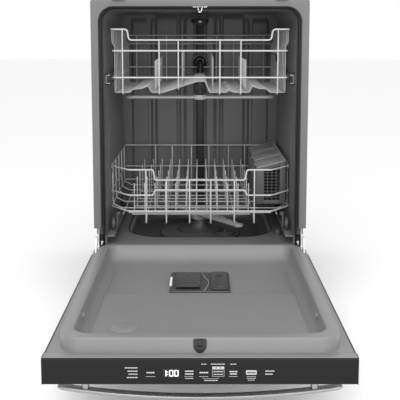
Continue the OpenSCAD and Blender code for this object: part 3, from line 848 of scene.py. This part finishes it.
def door_shell():
    lo, hi = span("outer_panel")
    x, z0, z1 = hi[0], lo[2], hi[2]
    skin = [(-x, z1)] + arc(-x + 5, z0 + 5, 5, 180, 270, 5) + arc(x - 5, z0 + 5, 5, 270, 360, 5)
    skin += [(x, z1), (x - 1.2, z1)]
    skin += arc(x - 5, z0 + 5, 3.8, 360, 270, 5) + arc(-x + 5, z0 + 5, 3.8, 270, 180, 5)
    skin += [(-x + 1.2, z1)]
    rings = [[(u, y, w) for u, w in skin] for y in (lo[1], hi[1])]
    Form().loops(rings, start=True, end=True).build(
        "door_skin", "steel", "door", ["outer_panel"]
    )
    x0, _, y0, y1, z0, z1 = edges("control_fascia")
    side = [(y1, z1), (y0 + 4.5, z1), (y0 + 0.9, z1 - 2.2), (y0, z1 - 4.4)]
    side += [(y0, z0 + 3), (y0 + 0.9, z0 + 0.9), (y0 + 3, z0), (y1, z0)]
    rings = []
    for x, d in ((x0, 1.2), (x0 + 0.4, 0.4), (x0 + 1.4, 0)):
        rings.append([(x, y, z) for y, z in inset(list(reversed(side)), d)])
    rings += [[(-x, y, z) for x, y, z in ring] for ring in reversed(rings)]
    Form().loops(rings, start=True, end=True).build(
        "fascia_shell", "fascia", "door", ["control_fascia"]
    )


def handle():
    lo, hi = span("handle_bar")
    y = (lo[1] + hi[1]) / 2
    bottom, reach = lo[2] + 5, hi[0] - 1
    bow, half, post_x = 22, 280, 225

    def height(x):
        return bottom + bow * (x / half) ** 2

    rings = []
    for x in even(-reach, reach, reach / 30):
        lean = math.atan(2 * bow * x / half**2)
        close = min(1, 0.55 + 0.45 * step(reach - abs(x), 0, 5))
        c, s, z = math.cos(lean), math.sin(lean), height(x)
        ring = oval(20, 9.6 * close, 5 * close, 0.75, 0.75)
        rings.append([(x - dz * s, y + dy, z + dz * c) for dy, dz in ring])
    # The handle's darker steel copy stands in for painted shade.
    Form().loops(rings, start=True, end=True).build(
        "handle_grip", "bar", "door", ["handle_bar"], smooth=55
    )
    posts = Form()
    for x in (-post_x, post_x):
        post = rounded(x - 7, x + 7, y - 6.5, y + 6.5, 4, 4)
        posts.slab(post, "z", height(x) + 1, hi[2] - 0.2, 0.6)
        foot = rounded(x - 10, x + 10, y - 9, y + 9, 5, 4)
        posts.slab(foot, "z", hi[2] - 2.5, hi[2] - 0.1, 1)
    posts.build("handle_posts", "bar", "door")


def latch():
    y, top = -712.3, span("inner_liner")[1][2] - 1.2
    shield = [(-12, top), (-12, 172), (-7, 165), (0, 160.5), (7, 165), (12, 172), (12, top)]
    shield = soften(shield, 3, 3)
    Form().slab(list(reversed(shield)), "y", y - 0.9, y + 4, 0.7).build(
        "latch_shield", "port", "door"
    )
    mouth = rounded(-8, 8, 174, top - 1, 3, 4)
    Form().slab(mouth, "y", y - 1.2, y + 1, 0.3).build("latch_mouth", "display", "door")
    tongue = Form().block(*edges("latch_hook"), 1.5, 0.8)
    tongue.build("latch_tongue", "dark", "latch_hook", ["latch_hook"])


def dispenser():
    x0, x1, y0, y1, _, top = edges("dispenser_body")
    base = 150
    rim = rounded(x0, x1, y0, y1, 9, 5)
    bed = rounded(x0 + 4, x1 - 4, y0 + 4, y1 - 4, 6, 5)
    rings = [[(x, y, base - 1) for x, y in rim], [(x, y, top - 1.6) for x, y in rim]]
    rings.append([(x, y, top) for x, y in inset(rim, 1.4)])
    rings.append([(x, y, top) for x, y in inset(rim, 3)])
    rings.append([(x, y, top - 1.2) for x, y in bed])
    Form().loops(rings, end=True).build(
        "dispenser_tray", "dispenser", "door", ["dispenser_body"]
    )
    groove = Form().block(-60, 3, -325, -311.5, top - 1.6, top - 0.9, 4, 0.2)
    groove.build("dispenser_slot", "display", "door")
    x0, x1, y0, y1, _, high = edges("detergent_lid")
    lid = Form().slab(rounded(x0, x1, y0, y1, 8, 5), "z", top + 0.3, high - 2.5, 1.2)
    lid.block(x0 + 14, x1 - 14, y0 + 4, y0 + 9, high - 3, high, 2, 1.2)
    arrow = [(-36, -236), (-29, -224), (-22, -236), (-26, -236), (-29, -231), (-32, -236)]
    lid.slab(list(reversed(arrow)), "z", high - 2.7, high - 2.1, 0.2)
    lid.build("detergent_cover", "dispenser", "detergent_lid", ["detergent_lid"])
    x0, x1, y0, y1, _, high = edges("rinse_lid")
    cover = Form().slab(rounded(x0, x1, y0, y1, 10, 5), "z", top + 0.3, high - 3.6, 1.2)
    cover.block(x0 + 11, x1 - 11, y0 + 3, y0 + 11, high - 4, high, 3, 1.4)
    ring = [(9, -3.8), (9, -2.6), (8, -2.2), (7, -2.7), (7, -3.8)]
    dial = ((x0 + x1) / 2, y1 - 34, high)
    cover.lathe(ring, dial, n=28, cap=(False, False))
    cover.build("rinse_cover", "dispenser", "rinse_lid", ["rinse_lid"])
    wave = ((6, -200), (12, -232), (22, -262), (20, -296), (10, -334))
    line = [(x, y, top - 0.6) for x, y in wave]
    Form().tube(line, 0.9, 6, 22).build("dispenser_bead", "basket_lid", "door")
    tab = Form().block(*edges("release_tab"), 2.4, 1.2)
    tab.build("release_button", "white", "release_tab", ["release_tab"])


def door_edges():
    """The liner's front lip and thin dark strips down both sides of the door."""
    lo, hi = span("control_fascia")
    top = hi[2]
    lip = Form()
    lip.block(lo[0] + 1, hi[0] - 1, lo[1] + 2, hi[1] + 1, top - 0.5, top + 0.5, 2, 0.5)
    lip.build("door_front_lip", "liner", "door")
    # Thin dark strips along the door's side edges.
    side_strips = Form()
    end = span("inner_liner")[1][1] - 60
    side_strips.twin(299.5, 301.4, hi[1], end, 158.2, 160.3, 0.6, 0.3)
    side_strips.build("door_side_dark_strips", "dark", "door")


def vent():
    z = span("vent_cover")[0][2]
    disc = [(35, z - 0.5), (35, z + 0.9), (33.5, z + 1.8), (31, z + 2), (30, z + 1)]
    disc += [(28.6, z + 1), (28, z + 2), (26, z + 2.6), (10, z + 2.8), (2, z + 2.8)]
    piece = Form().lathe(disc, middle("vent_cover"), n=56)
    piece.build("vent_disc", "liner", "door", ["vent_cover"])


def liner_tabs():
    tabs = Form().twin(243, 250, -574, -554, 176, 184, 2, 1.6)
    tabs.build("basin_tabs", "liner", "door")


# ---- controls ----


def word(form, x0, x1, z, tall, count, y):
    """A row of short dashes in the place of a printed word."""
    tall *= 0.82
    pitch = (x1 - x0) / count
    for i in range(count):
        a = x0 + i * pitch
        b = a + pitch * (0.86 if i < count - 1 else 1)
        form.block(a, b, y - 0.1, y + 0.06, z - tall / 2, z + tall / 2, 0.3, 0.04, "y")


def panel_print():
    y = span("control_fascia")[0][1]
    marks = Form()
    for z, wide in ((142, 24), (135.4, 19), (129.4, 17), (122.8, 20)):
        word(marks, -118.7 - wide, -118.7, z, 2.4, 4, y)
    for x0, x1 in ((-103, -85), (-29.7, -12.6), (-1.4, 15.7), (55, 71.5), (88.5, 106.5)):
        word(marks, x0, x1, 124.7, 0.9, 1, y)
    for x0, x1, z, tall, count in (
        (-28, -13, 121, 1.6, 3),
        (-1, 15.5, 132.6, 3.4, 4),
        (2.4, 12, 149.5, 1.8, 2),
        (20.4, 47, 149.5, 2, 5),
        (57.5, 69, 149.5, 1.8, 2),
        (56, 71, 134.6, 3, 3),
        (57, 70, 129.8, 3, 3),
        (89, 106, 121.3, 1.4, 4),
        (91, 104, 117.6, 1.4, 3),
        (124, 141, 135.6, 2.6, 4),
        (124, 138, 129.6, 2.6, 3),
        (8, 33.5, 116.9, 2, 6),
        (25.5, 43.5, 134.4, 2, 4),
        (25.5, 43.5, 129, 2, 3),
    ):
        word(marks, x0, x1, z, tall, count, y)
    word(marks, 23.3, 46, 142.1, 6, 1, y)
    for z in (138.2, 124.9):
        word(marks, 23.3, 46, z, 0.7, 1, y)
    for x in (23.3, 45.4):
        marks.block(x, x + 0.6, y - 0.1, y + 0.4, 124.9, 138.2, 0.1, 0.05, "y")
    word(marks, 6.2, 34.7, 120.4, 0.7, 1, y)
    for x in (6.2, 34.1):
        marks.block(x, x + 0.6, y - 0.1, y + 0.4, 120.1, 123, 0.1, 0.05, "y")
    marks.build("panel_marks", "print", "door")
    dots = Form()
    for x in (30.5, 38.8):
        dots.lathe([(1.2, y - 0.3), (1.2, y + 0.2)], (x, 0, 142.1), "y", 12)
    dots.build("panel_dots", "display", "door")


SEGMENTS = {"1": "bc", "0": "abcdef"}


def digit(form, shown, x, z, wide, tall, y):
    """One seven-bar figure, its left edge at x and its foot at z."""
    t, mid, head = 1.3, z + tall / 2, z + tall
    bars = {
        "a": (x + t, x + wide - t, head - t, head),
        "b": (x + wide - t, x + wide, mid + 0.3, head - 0.6),
        "c": (x + wide - t, x + wide, z + 0.6, mid - 0.3),
        "d": (x + t, x + wide - t, z, z + t),
        "e": (x, x + t, z + 0.6, mid - 0.3),
        "f": (x, x + t, mid + 0.3, head - 0.6),
    }
    for key in SEGMENTS[shown]:
        x0, x1, z0, z1 = bars[key]
        form.block(x0, x1, y - 0.2, y + 0.3, z0, z1, 0.3, 0.06, "y")


def display():
    lo, hi = span("display_window")
    y = span("control_fascia")[0][1]
    glass = Form().block(lo[0], hi[0], y - 0.25, hi[1], lo[2], hi[2], 1.2, 0.2, "y")
    glass.build("display_glass", "display", "door", ["display_window"])
    figures = Form()
    x, z = lo[0] + 3.4, lo[2] + 2
    digit(figures, "1", x - 3.4, z, 6, 12.6, y - 0.2)
    for dz in (3.4, 8.2):
        figures.block(x + 4.6, x + 6, y - 0.4, y, z + dz, z + dz + 1.4, 0.3, 0.06, "y")
    digit(figures, "0", x + 8.2, z, 7.4, 12.6, y - 0.2)
    digit(figures, "0", x + 18, z, 7.4, 12.6, y - 0.2)
    figures.build("display_figures", "digits", "door")


def pads():
    proud = 0.9
    for name, look in (("pad_cycle", "fascia"), ("pad_delay", "fascia"), ("pad_start", "print")):
        lo, hi = span(name)
        y = lo[1] - proud
        low = 0 if look == "fascia" else 2.4
        cap = Form().block(lo[0], hi[0], y, hi[1], lo[2] + low, hi[2] - low, 1.6, 0.35, "y")
        cap.build(f"{name}_cap", look, name, [name])
        ink = Form()
        x0, x1, z = lo[0] + 2.2, hi[0] - 2.2, (lo[2] + hi[2]) / 2
        rows = {"pad_cycle": (0,), "pad_delay": (2.8, -2.8), "pad_start": (0,)}[name]
        for dz in rows:
            word(ink, x0, x1, z + dz, 3.2, 4, y)
        ink.build(f"{name}_mark", "display" if name == "pad_start" else "print", name)


# ---- racks ----
UPPER_HUB, LOWER_HUB = (0, 290, 0), (0, 300, 0)


def rib_rows():
    """The depths of the twelve ribs of the upper rack."""
    return [min(75 + 40 * i, 503) for i in range(12)]


BEARERS = (-218, -115, -61, 56, 115, 219)
WAVE = [(-200, 603), (-193, 612), (-167, 614), (-148, 622), (-139, 603), (-108, 602), (-9, 634)]
WAVE += [(15, 635), (27, 603), (75, 603), (86, 610), (95, 603), (141, 603), (150, 621)]
WAVE += [(169, 614), (189, 614), (201, 603)]


def upper_rack():
    lo, hi = span("upper_rack_frame")
    front, back, top = lo[1] + 2.5, hi[1] - 2.5, hi[2] - 2.5
    frame_wires = Form()
    dip = top - 30
    rim = [(-204, front, top), (-200, front, dip), (200, front, dip), (204, front, top)]
    rim += [(250, front, top), (250, back - 30, top), (250, back, top - 19)]
    rim += [(-250, back, top - 19), (-250, back - 30, top), (-250, front, top)]
    frame_wires.tube(rim, 2.5, 10, 9, shut=True)
    for z, z_back in ((722, 735), (647, 655)):
        belt = [(-246, front, z), (246, front, z), (246, back - 24, z), (246, back, z_back)]
        belt += [(-246, back, z_back), (-246, back - 24, z)]
        frame_wires.tube(belt, 2.5, 8, 11, shut=True)
    for x in BEARERS:
        crest = top if abs(x) > 204 else dip
        low = 613.8 if x == -61 else 599.8
        bow = [(x, front, crest), (x, front, low), (x, back - 14, low)]
        bow += [(x, back, low + 9), (x, back, top - 19)]
        frame_wires.tube(bow, 1.9, 7, 7)
    frame_wires.build("upper_rack_rails", "wire", "upper_rack", ["upper_rack_frame"])
    ribs = Form()
    side = [(243, 603), (243, 735), (250, 745), (250, top)]
    for y in rib_rows():
        rib = [(-x, y, z) for x, z in reversed(side)]
        rib += [(x, y, z) for x, z in WAVE] + [(x, y, z) for x, z in side]
        ribs.tube(rib, 1.5, 6, 5, turns=3)
    ribs.build("upper_rack_ribs", "rib", "upper_rack", ["upper_rack_floor"])
    tines = Form()
    rows = ((-129, 603, 692), (-51, 621.7, 715), (37, 603, 702), (132, 603, 694))
    for x, base, crest in rows:
        tines.tube([(x, 80, base + 3.8), (x, 512, base + 3.8)], 1.8, 6, 0)
        for i in range(11):
            y = 94.6 + 40 * i
            tines.tube([(x, y, base + 3), (x, y, crest)], 1.5, 6, 0)
    tines.build("upper_rack_prongs", "rib", "upper_rack", ["upper_rack_tines"])


def rack_carriers():
    lo, hi = span("rack_carriers")
    roller = span("upper_front_rollers")
    z = (roller[0][2] + roller[1][2]) / 2
    plate = [(lo[1], lo[2]), (hi[1], lo[2]), (hi[1], 690)]
    plate += [(500, hi[2]), (350, hi[2]), (lo[1], 690)]
    piece = Form().twin_slab(soften(plate, 9, 3), 252.9, 255.4, 0.6)
    pin = [(5, 255), (5, 256.4), (3, 256.8), (3, 264.4), (4.6, 264.8), (3.4, 265)]
    for y in (340, 510):
        piece.twin(247.6, 253, y - 10, y + 5, 640, 643, 1.4, 0.8)
        piece.twin_lathe(pin, y, z, 16)
    piece.block(237, 247, 280, 300, 684, 704, 3, 1)
    piece.tube([(241, 292, 702), (178, 498, 718)], 1.4, 6, 0)
    piece.build("rack_side_plates", "dark", "upper_rack", ["rack_carriers"])
    for name in ("upper_front_rollers", "upper_rear_rollers"):
        lo, hi = span(name)
        r = (hi[2] - lo[2]) / 2
        rim = [(3.1, 257), (5, 257), (5.6, 258.2), (r - 2, 258.4), (r - 0.6, 257.3)]
        rim += [(r, 258.2), (r, 262.8), (r - 0.6, 263.7), (r - 2, 262.6)]
        rim += [(5.6, 262.8), (5, 264), (3.1, 264)]
        pair = Form().twin_lathe(rim, middle(name)[1], z, 28, (False, False))
        pair.build(f"{name}_pair", "white", name, [name])


def feed_tube():
    z = span("feed_tube")[1][2] - 11
    tube = [(1, 282, 616), (1, 520, 616), (1, 520, z), (0, 540, z)]
    pipe = Form().tube(tube, 10, 18, 17, turns=6)
    collar = [(9, 528), (11, 529), (11, 539.6), (9.6, 540.4), (8, 540.4), (8, 532)]
    pipe.lathe(collar, (0, 0, z), "y", 28, cap=(False, True))
    hub = [(15.2, 617), (15.2, 600), (13, 596), (15, 590), (15, 584), (5, 582), (5, 561)]
    pipe.lathe(hub, UPPER_HUB, n=28)
    for x, y in arc(*UPPER_HUB[:2], 16, 0, 315, 7):
        pipe.block(x - 1.6, x + 1.6, y - 1.6, y + 1.6, 585, 612, 1, 0.7)
    pipe.lathe([(8, 563), (8, 561), (6, 560.2), (1, 560)], UPPER_HUB, n=20)
    pipe.build("feed_pipe", "dark", "upper_rack", ["feed_tube"])
    cover = Form().block(-44, 15, 430, 510, 627, 630.4, 4, 1)
    cover.build("feed_cover", "arm", "upper_rack")
    holes = Form()
    for x in (-26, -3):
        holes.lathe([(4.5, 630), (4.5, 630.55), (1, 630.6)], (x, 478, 0), n=20)
    holes.build("feed_cover_holes", "display", "upper_rack")


def spray_arm(name, look, body, centre, angle, reach, wide, tip, z0, z1, hub):
    """A hollow arm, wide at its hub and narrow at its ends, with a row of jets."""
    c, s = math.cos(math.radians(angle)), math.sin(math.radians(angle))
    mid, half = (z0 + z1) / 2, (z1 - z0) / 2
    piece, rings = Form(), []

    def at(u, v, z):
        return (centre[0] + u * c - v * s, centre[1] + u * s + v * c, z)

    count = 44
    for i in range(count + 1):
        u = -reach + 2 * reach * i / count
        away = abs(u)
        breadth = tip + (wide - tip) * (1 - step(away, 20, reach * 0.97) ** 1.2)
        close = math.sqrt(max(0.02, 1 - (max(0, away - reach + 9) / 9.2) ** 2))
        ring = oval(16, breadth * close, half * close, 0.8, 0.7)
        rings.append([at(u, v, mid + w) for v, w in ring])
    piece.loops(rings, start=True, end=True).lathe(hub, centre, n=40)
    piece.build(name, look, body, [body], smooth=50)
    jets = Form()
    for i, share in enumerate((0.3, 0.48, 0.64, 0.8, 0.92)):
        for side in (-1, 1):
            u = side * share * reach
            x, y, z = at(u, side * (3 - 2 * (i % 2)), z1 - 0.1)
            jets.lathe([(3.4, -0.8), (3.4, 0.3), (2.2, 0.5)], (x, y, z), n=14)
    jets.build(f"{name}_jets", "display", body)


def spray_arms():
    lo, hi = span("upper_spray_arm")
    low, high = lo[2], hi[2]
    hub = [(5.2, low), (20, low), (22, low + 2), (22, high - 2), (20, high), (5.2, high)]
    # The upper arm takes the lighter, glossier copy of the arm plastic: painted highlight over
    # real gloss.
    spray_arm(
        "upper_arm", "arm_gloss_highlight", "upper_spray_arm",
        UPPER_HUB, 0, 233, 20, 11, low + 2, high - 2, hub,
    )
    lo, hi = span("lower_spray_arm")
    low, high = lo[2], hi[2]
    hub = [(22.4, low), (27, low), (29, low + 3), (29, high - 5)]
    hub += [(26, high - 1), (18, high), (2, high)]
    spray_arm(
        "lower_arm", "arm", "lower_spray_arm",
        LOWER_HUB, -55.5, 220, 25, 13, 192, 205, hub,
    )


RUNNERS = (-155, -97, -30, 31, 99, 156)
LOW_RIBS = (150, 238, 327, 415, 503)


def lower_rack():
    lo, hi = span("lower_rack_frame")
    front, back, top = lo[1] + 2.5, hi[1] - 2.5, hi[2] - 2.5
    half, corner = hi[0] - 2.5, 204
    bearer = span("lower_rack_floor")[0][2] + 1.8
    rails = Form()
    for z, z_mid in ((top, top - 30), (309, 324), (262, 262)):
        loop = [(-corner, front, z), (-134, front, z), (-130, front, z_mid)]
        loop += [(130, front, z_mid), (134, front, z), (corner, front, z)]
        if z == z_mid:
            loop = [loop[0], loop[-1]]
        loop += [(half, front + 70, z), (half, back, z), (-half, back, z), (-half, front + 70, z)]
        rails.tube(loop, 2.5, 10, 7, shut=True)
    for x in RUNNERS:
        crest = top if abs(x) > 134 else top - 30
        bow = [(x, front, crest), (x, front, 224.5), (x, 80, bearer), (x, 514, bearer)]
        bow += [(x, back, 252), (x, back, top)]
        rails.tube(bow, 1.9, 7, 7)
    rails.build("lower_rack_rails", "wire", "lower_rack", ["lower_rack_frame"])
    ribs = Form()
    for y in LOW_RIBS:
        rib = [(-half, y, top), (-half, y, 262), (-236, y, 248), (236, y, 248)]
        rib += [(half, y, 262), (half, y, top)]
        ribs.tube(rib, 1.8, 7, 8)
    ribs.tube([(-208, 89, 248), (208, 89, 248)], 1.8, 7, 0)
    for x in (-225, 225):
        ribs.tube([(x, 84, bearer), (x, 510, bearer)], 1.8, 7, 0)
    for side in (-1, 1):
        for z in (top, 309):
            hook = [(side * half, front + 78, z - 3), (side * (half - 3), front + 98, z - 22)]
            hook += [(side * (half - 3.4), front + 108, z - 27)]
            ribs.tube(hook, 1.6, 6, 4)
    ribs.build("lower_rack_ribs", "wire", "lower_rack", ["lower_rack_floor"])
    tines = Form()
    for y in (62, 165, 270, 380, 488):
        tines.tube([(-196, y, 250), (146, y, 250)], 1.8, 6, 0)
        for i in range(12):
            x = -190 + 30 * i
            tines.tube([(x, y, 250), (x, y, 340)], 1.5, 6, 0)
    tines.build("lower_rack_prongs", "wire", "lower_rack", ["lower_rack_tines"])


def wheels():
    for name in ("front_wheels", "rear_wheels"):
        lo, hi = span(name)
        y, z, r = middle(name)[1], (lo[2] + hi[2]) / 2, (hi[2] - lo[2]) / 2
        rim = [(4.1, 251), (7, 251), (7.6, 252.6), (r - 4, 253), (r - 3, 251.2)]
        rim += [(r - 1, 251.1), (r, 252.2), (r, 258.3), (r - 1, 259.4), (r - 3, 259.3)]
        rim += [(r - 4, 257.5), (7.6, 257.9), (7, 259.5), (4.1, 259.5)]
        pair = Form().twin_lathe(rim, y, z, 40, (False, False))
        for x in (-259, 259):
            for i in range(5):
                a = math.radians(72 * i + 90)
                ends = [(x, y + q * math.cos(a), z + q * math.sin(a)) for q in (7, r - 3)]
                pair.tube(ends, 1.5, 6, 0)
        pair.build(f"{name}_pair", "wheel", name, [name])
    carriers = Form()
    for y in (110, 440):
        carriers.twin(242, 249, y - 9, y + 9, z - 8, 246, 4, 1.6)
        carriers.twin(236, 249, y - 9, y + 9, 236, 246, 3, 2)
        carriers.twin_lathe([(4, 248), (4, 260), (3.2, 260.5), (1, 260.6)], y, z, 18)
    carriers.build("wheel_forks", "wheel", "lower_rack", ["wheel_carriers"])


# ---- cutlery basket ----
LID_RISE, LID_WIDE = 22, 87
LID_SLOPE = math.atan2(LID_RISE, LID_WIDE)
AXES["lid"] = lambda u, v, t: (
    167 + u * math.cos(LID_SLOPE) - t * math.sin(LID_SLOPE),
    v,
    372.4 + u * math.sin(LID_SLOPE) + t * math.cos(LID_SLOPE),
)
LID_PIN = (254, 0, 395.9)
CELLS = ((124, 255), (257, 388), (390, 523))


def lattice(form, put, us, low, top, pitch, wide=1.3):
    """A woven wall: uprights at us, and cross bars between them."""
    for u in us:
        form.tube([put(u, low), put(u, top(u))], wide, 5, 0)
    for v in even(low, min(top(us[0]), top(us[-1])), pitch):
        form.tube([put(us[0], v), put(us[-1], v)], wide, 5, 0)


def basket():
    x0, x1, y0, y1, z0, crown = edges("basket_body")

    def crest(x):
        return crown - LID_RISE * (x1 - x) / (x1 - x0)

    body = Form()
    body.block(x0, x1, y0, y1, z0, z0 + 2.4, 5, 1)
    wide = 1.2
    for x in (x0 + wide, x1 - wide):
        top = crest(x)
        for z in (z0 + 8, top - 5):
            body.block(x - wide, x + wide, y0 + 1, y1 - 1, z - 5, z + 5, 2, 0.8)
        for y in even(y0 + 5, y1 - 5, 130):
            body.block(x - wide, x + wide, y - 4, y + 4, z0, top, 2, 0.8)
        ys = even(y0 + 6, y1 - 6, 10.5)
        lattice(body, lambda y, z, x=x: (x, y, z), ys, z0 + 10, lambda y, z=top: z - 6, 10)
    for y in (y0, CELLS[0][1], CELLS[1][1], y1 - 2):
        for xa, xb in ((x0 + 0.2, x0 + 23), (x1 - 17, x1 - 0.2)):
            wall = [(xa, z0 + 0.4), (xb, z0 + 0.4), (xb, crest(xb) - 0.4), (xa, crest(xa) - 0.4)]
            body.slab(soften(wall, 1.5, 2), "y", y, y + 2, 0.4)
        xa, xb = x0 + 22, x1 - 16
        low = [(xa, z0 + 0.4), (xb, z0 + 0.4), (xb, z0 + 12), (xa, z0 + 12)]
        high = [(xa, crest(xa) - 9), (xb, crest(xb) - 9)]
        high += [(xb, crest(xb) - 0.4), (xa, crest(xa) - 0.4)]
        for part in (low, high):
            body.slab(part, "y", y, y + 2, 0.3)
        xs = even(xa, xb, 11)
        lattice(body, lambda x, z, y=y: (x, y + 1, z), xs, z0 + 11, lambda x: crest(x) - 8, 9)
    body.build("basket_shell", "basket", "basket", ["basket_body"])
    for name, (ya, yb) in zip(("lid_front", "lid_middle", "lid_rear"), CELLS):
        basket_lid(name, ya - 1.2, yb + 0.6)


def basket_lid(name, y0, y1):
    reach = LID_WIDE / math.cos(LID_SLOPE)
    lid = Form().slab(rounded(1, reach - 2, y0, y1, 4, 4), "lid", 0.1, 1.7, 0.5)
    rim = 5
    sides = ((1, reach - 2, y0, y0 + rim), (1, reach - 2, y1 - rim, y1))
    sides += ((1, 1 + rim, y0, y1), (reach - 2 - rim, reach - 2, y0, y1))
    for u0, u1, v0, v1 in sides:
        lid.slab(rounded(u0, u1, v0, v1, 2, 3), "lid", 0.4, 2.7, 0.7)
    ridge = reach * 0.49
    for u in (ridge - 5, ridge + 5):
        lid.slab(rounded(u - 1.4, u + 1.4, y0 + 2, y1 - 2, 1, 2), "lid", 1, 2.5, 0.6)
    lid.build(f"{name}_plate", "basket_lid", name, [name])
    catch = Form()
    v = (y0 + y1) / 2
    catch.slab(rounded(-2, 4, v - 9, v + 9, 2.4, 4), "lid", 0.4, 3.6, 1)
    catch.build(f"{name}_catch", "arm", name)
    knuckles = Form()
    for y in even(y0 + 6, y1 - 6, 17):
        profile = [(1.5, y - 4), (1.9, y - 3.4), (1.9, y + 3.4), (1.5, y + 4)]
        knuckles.lathe(profile, LID_PIN, "y", 12)
    knuckles.lathe([(0.9, y0 + 1), (0.9, y1 - 1)], LID_PIN, "y", 10)
    knuckles.build(f"{name}_knuckles", "arm", name)


# ---- picture ----


def camera():
    eye = bpy.data.cameras.new("camera")
    eye.sensor_width = 36
    eye.sensor_fit = "HORIZONTAL"
    eye.lens = 69.5
    eye.shift_y = -0.175
    eye.clip_end = 60
    viewer = bpy.data.objects.new("camera", eye)
    bpy.context.scene.collection.objects.link(viewer)
    viewer.location = place(0, -2133, 774.3)
    viewer.rotation_euler = (math.radians(90 - 7.23), 0, 0)
    bpy.context.scene.camera = viewer


def lamp(name, at, aim, size, power):
    light = bpy.data.lights.new(name, "AREA")
    light.shape = "RECTANGLE"
    light.size, light.size_y = size
    light.energy = power
    holder = bpy.data.objects.new(name, light)
    bpy.context.scene.collection.objects.link(holder)
    holder.location = at
    turn = [b - a for a, b in zip(at, aim)]
    from_z = math.atan2(math.hypot(turn[0], turn[1]), -turn[2])
    holder.rotation_euler = (from_z, 0, math.atan2(-turn[0], turn[1]))


def studio():
    world = bpy.data.worlds.new("studio")
    bpy.context.scene.world = world
    world.use_nodes = True
    sky = world.node_tree.nodes["Background"]
    sky.inputs["Color"].default_value = (1, 1, 1, 1)
    sky.inputs["Strength"].default_value = 1.0
    bpy.context.scene.view_settings.view_transform = "Standard"
    lamp("key", (-0.9, -2.6, 1.9), (0, 0, 0.45), (2.0, 1.6), 36)
    lamp("fill", (1.2, -2.6, 1.3), (0, 0.2, 0.5), (1.6, 1.6), 26)
    lamp("top", (0, -1.4, 2.6), (0, -0.7, 0), (2.2, 1.6), 12)
    bpy.ops.mesh.primitive_plane_add(size=40, location=(0, 0, -0.0005))
    floor = bpy.context.object
    floor.name = "floor"
    paint = bpy.data.materials.new("floor")
    paint.use_nodes = True
    shader = paint.node_tree.nodes["Principled BSDF"]
    shader.inputs["Base Color"].default_value = (0.93, 0.93, 0.93, 1)
    shader.inputs["Roughness"].default_value = 0.9
    floor.data.materials.append(paint)


camera()
materials()
studio()
for make in (
    front_frame, gasket, tub_shell, back_wall, tub_base, well_rings, filter_parts,
    water_conduit, strike,
    hinge_hardware, door_springs, brackets_and_feet, jackets, base_parts, rack_slides,
    liner, door_shell, door_edges, handle, latch, dispenser, vent, liner_tabs,
    panel_print, display, pads,
    upper_rack, rack_carriers, feed_tube, spray_arms, lower_rack, wheels, basket,
):
    make()
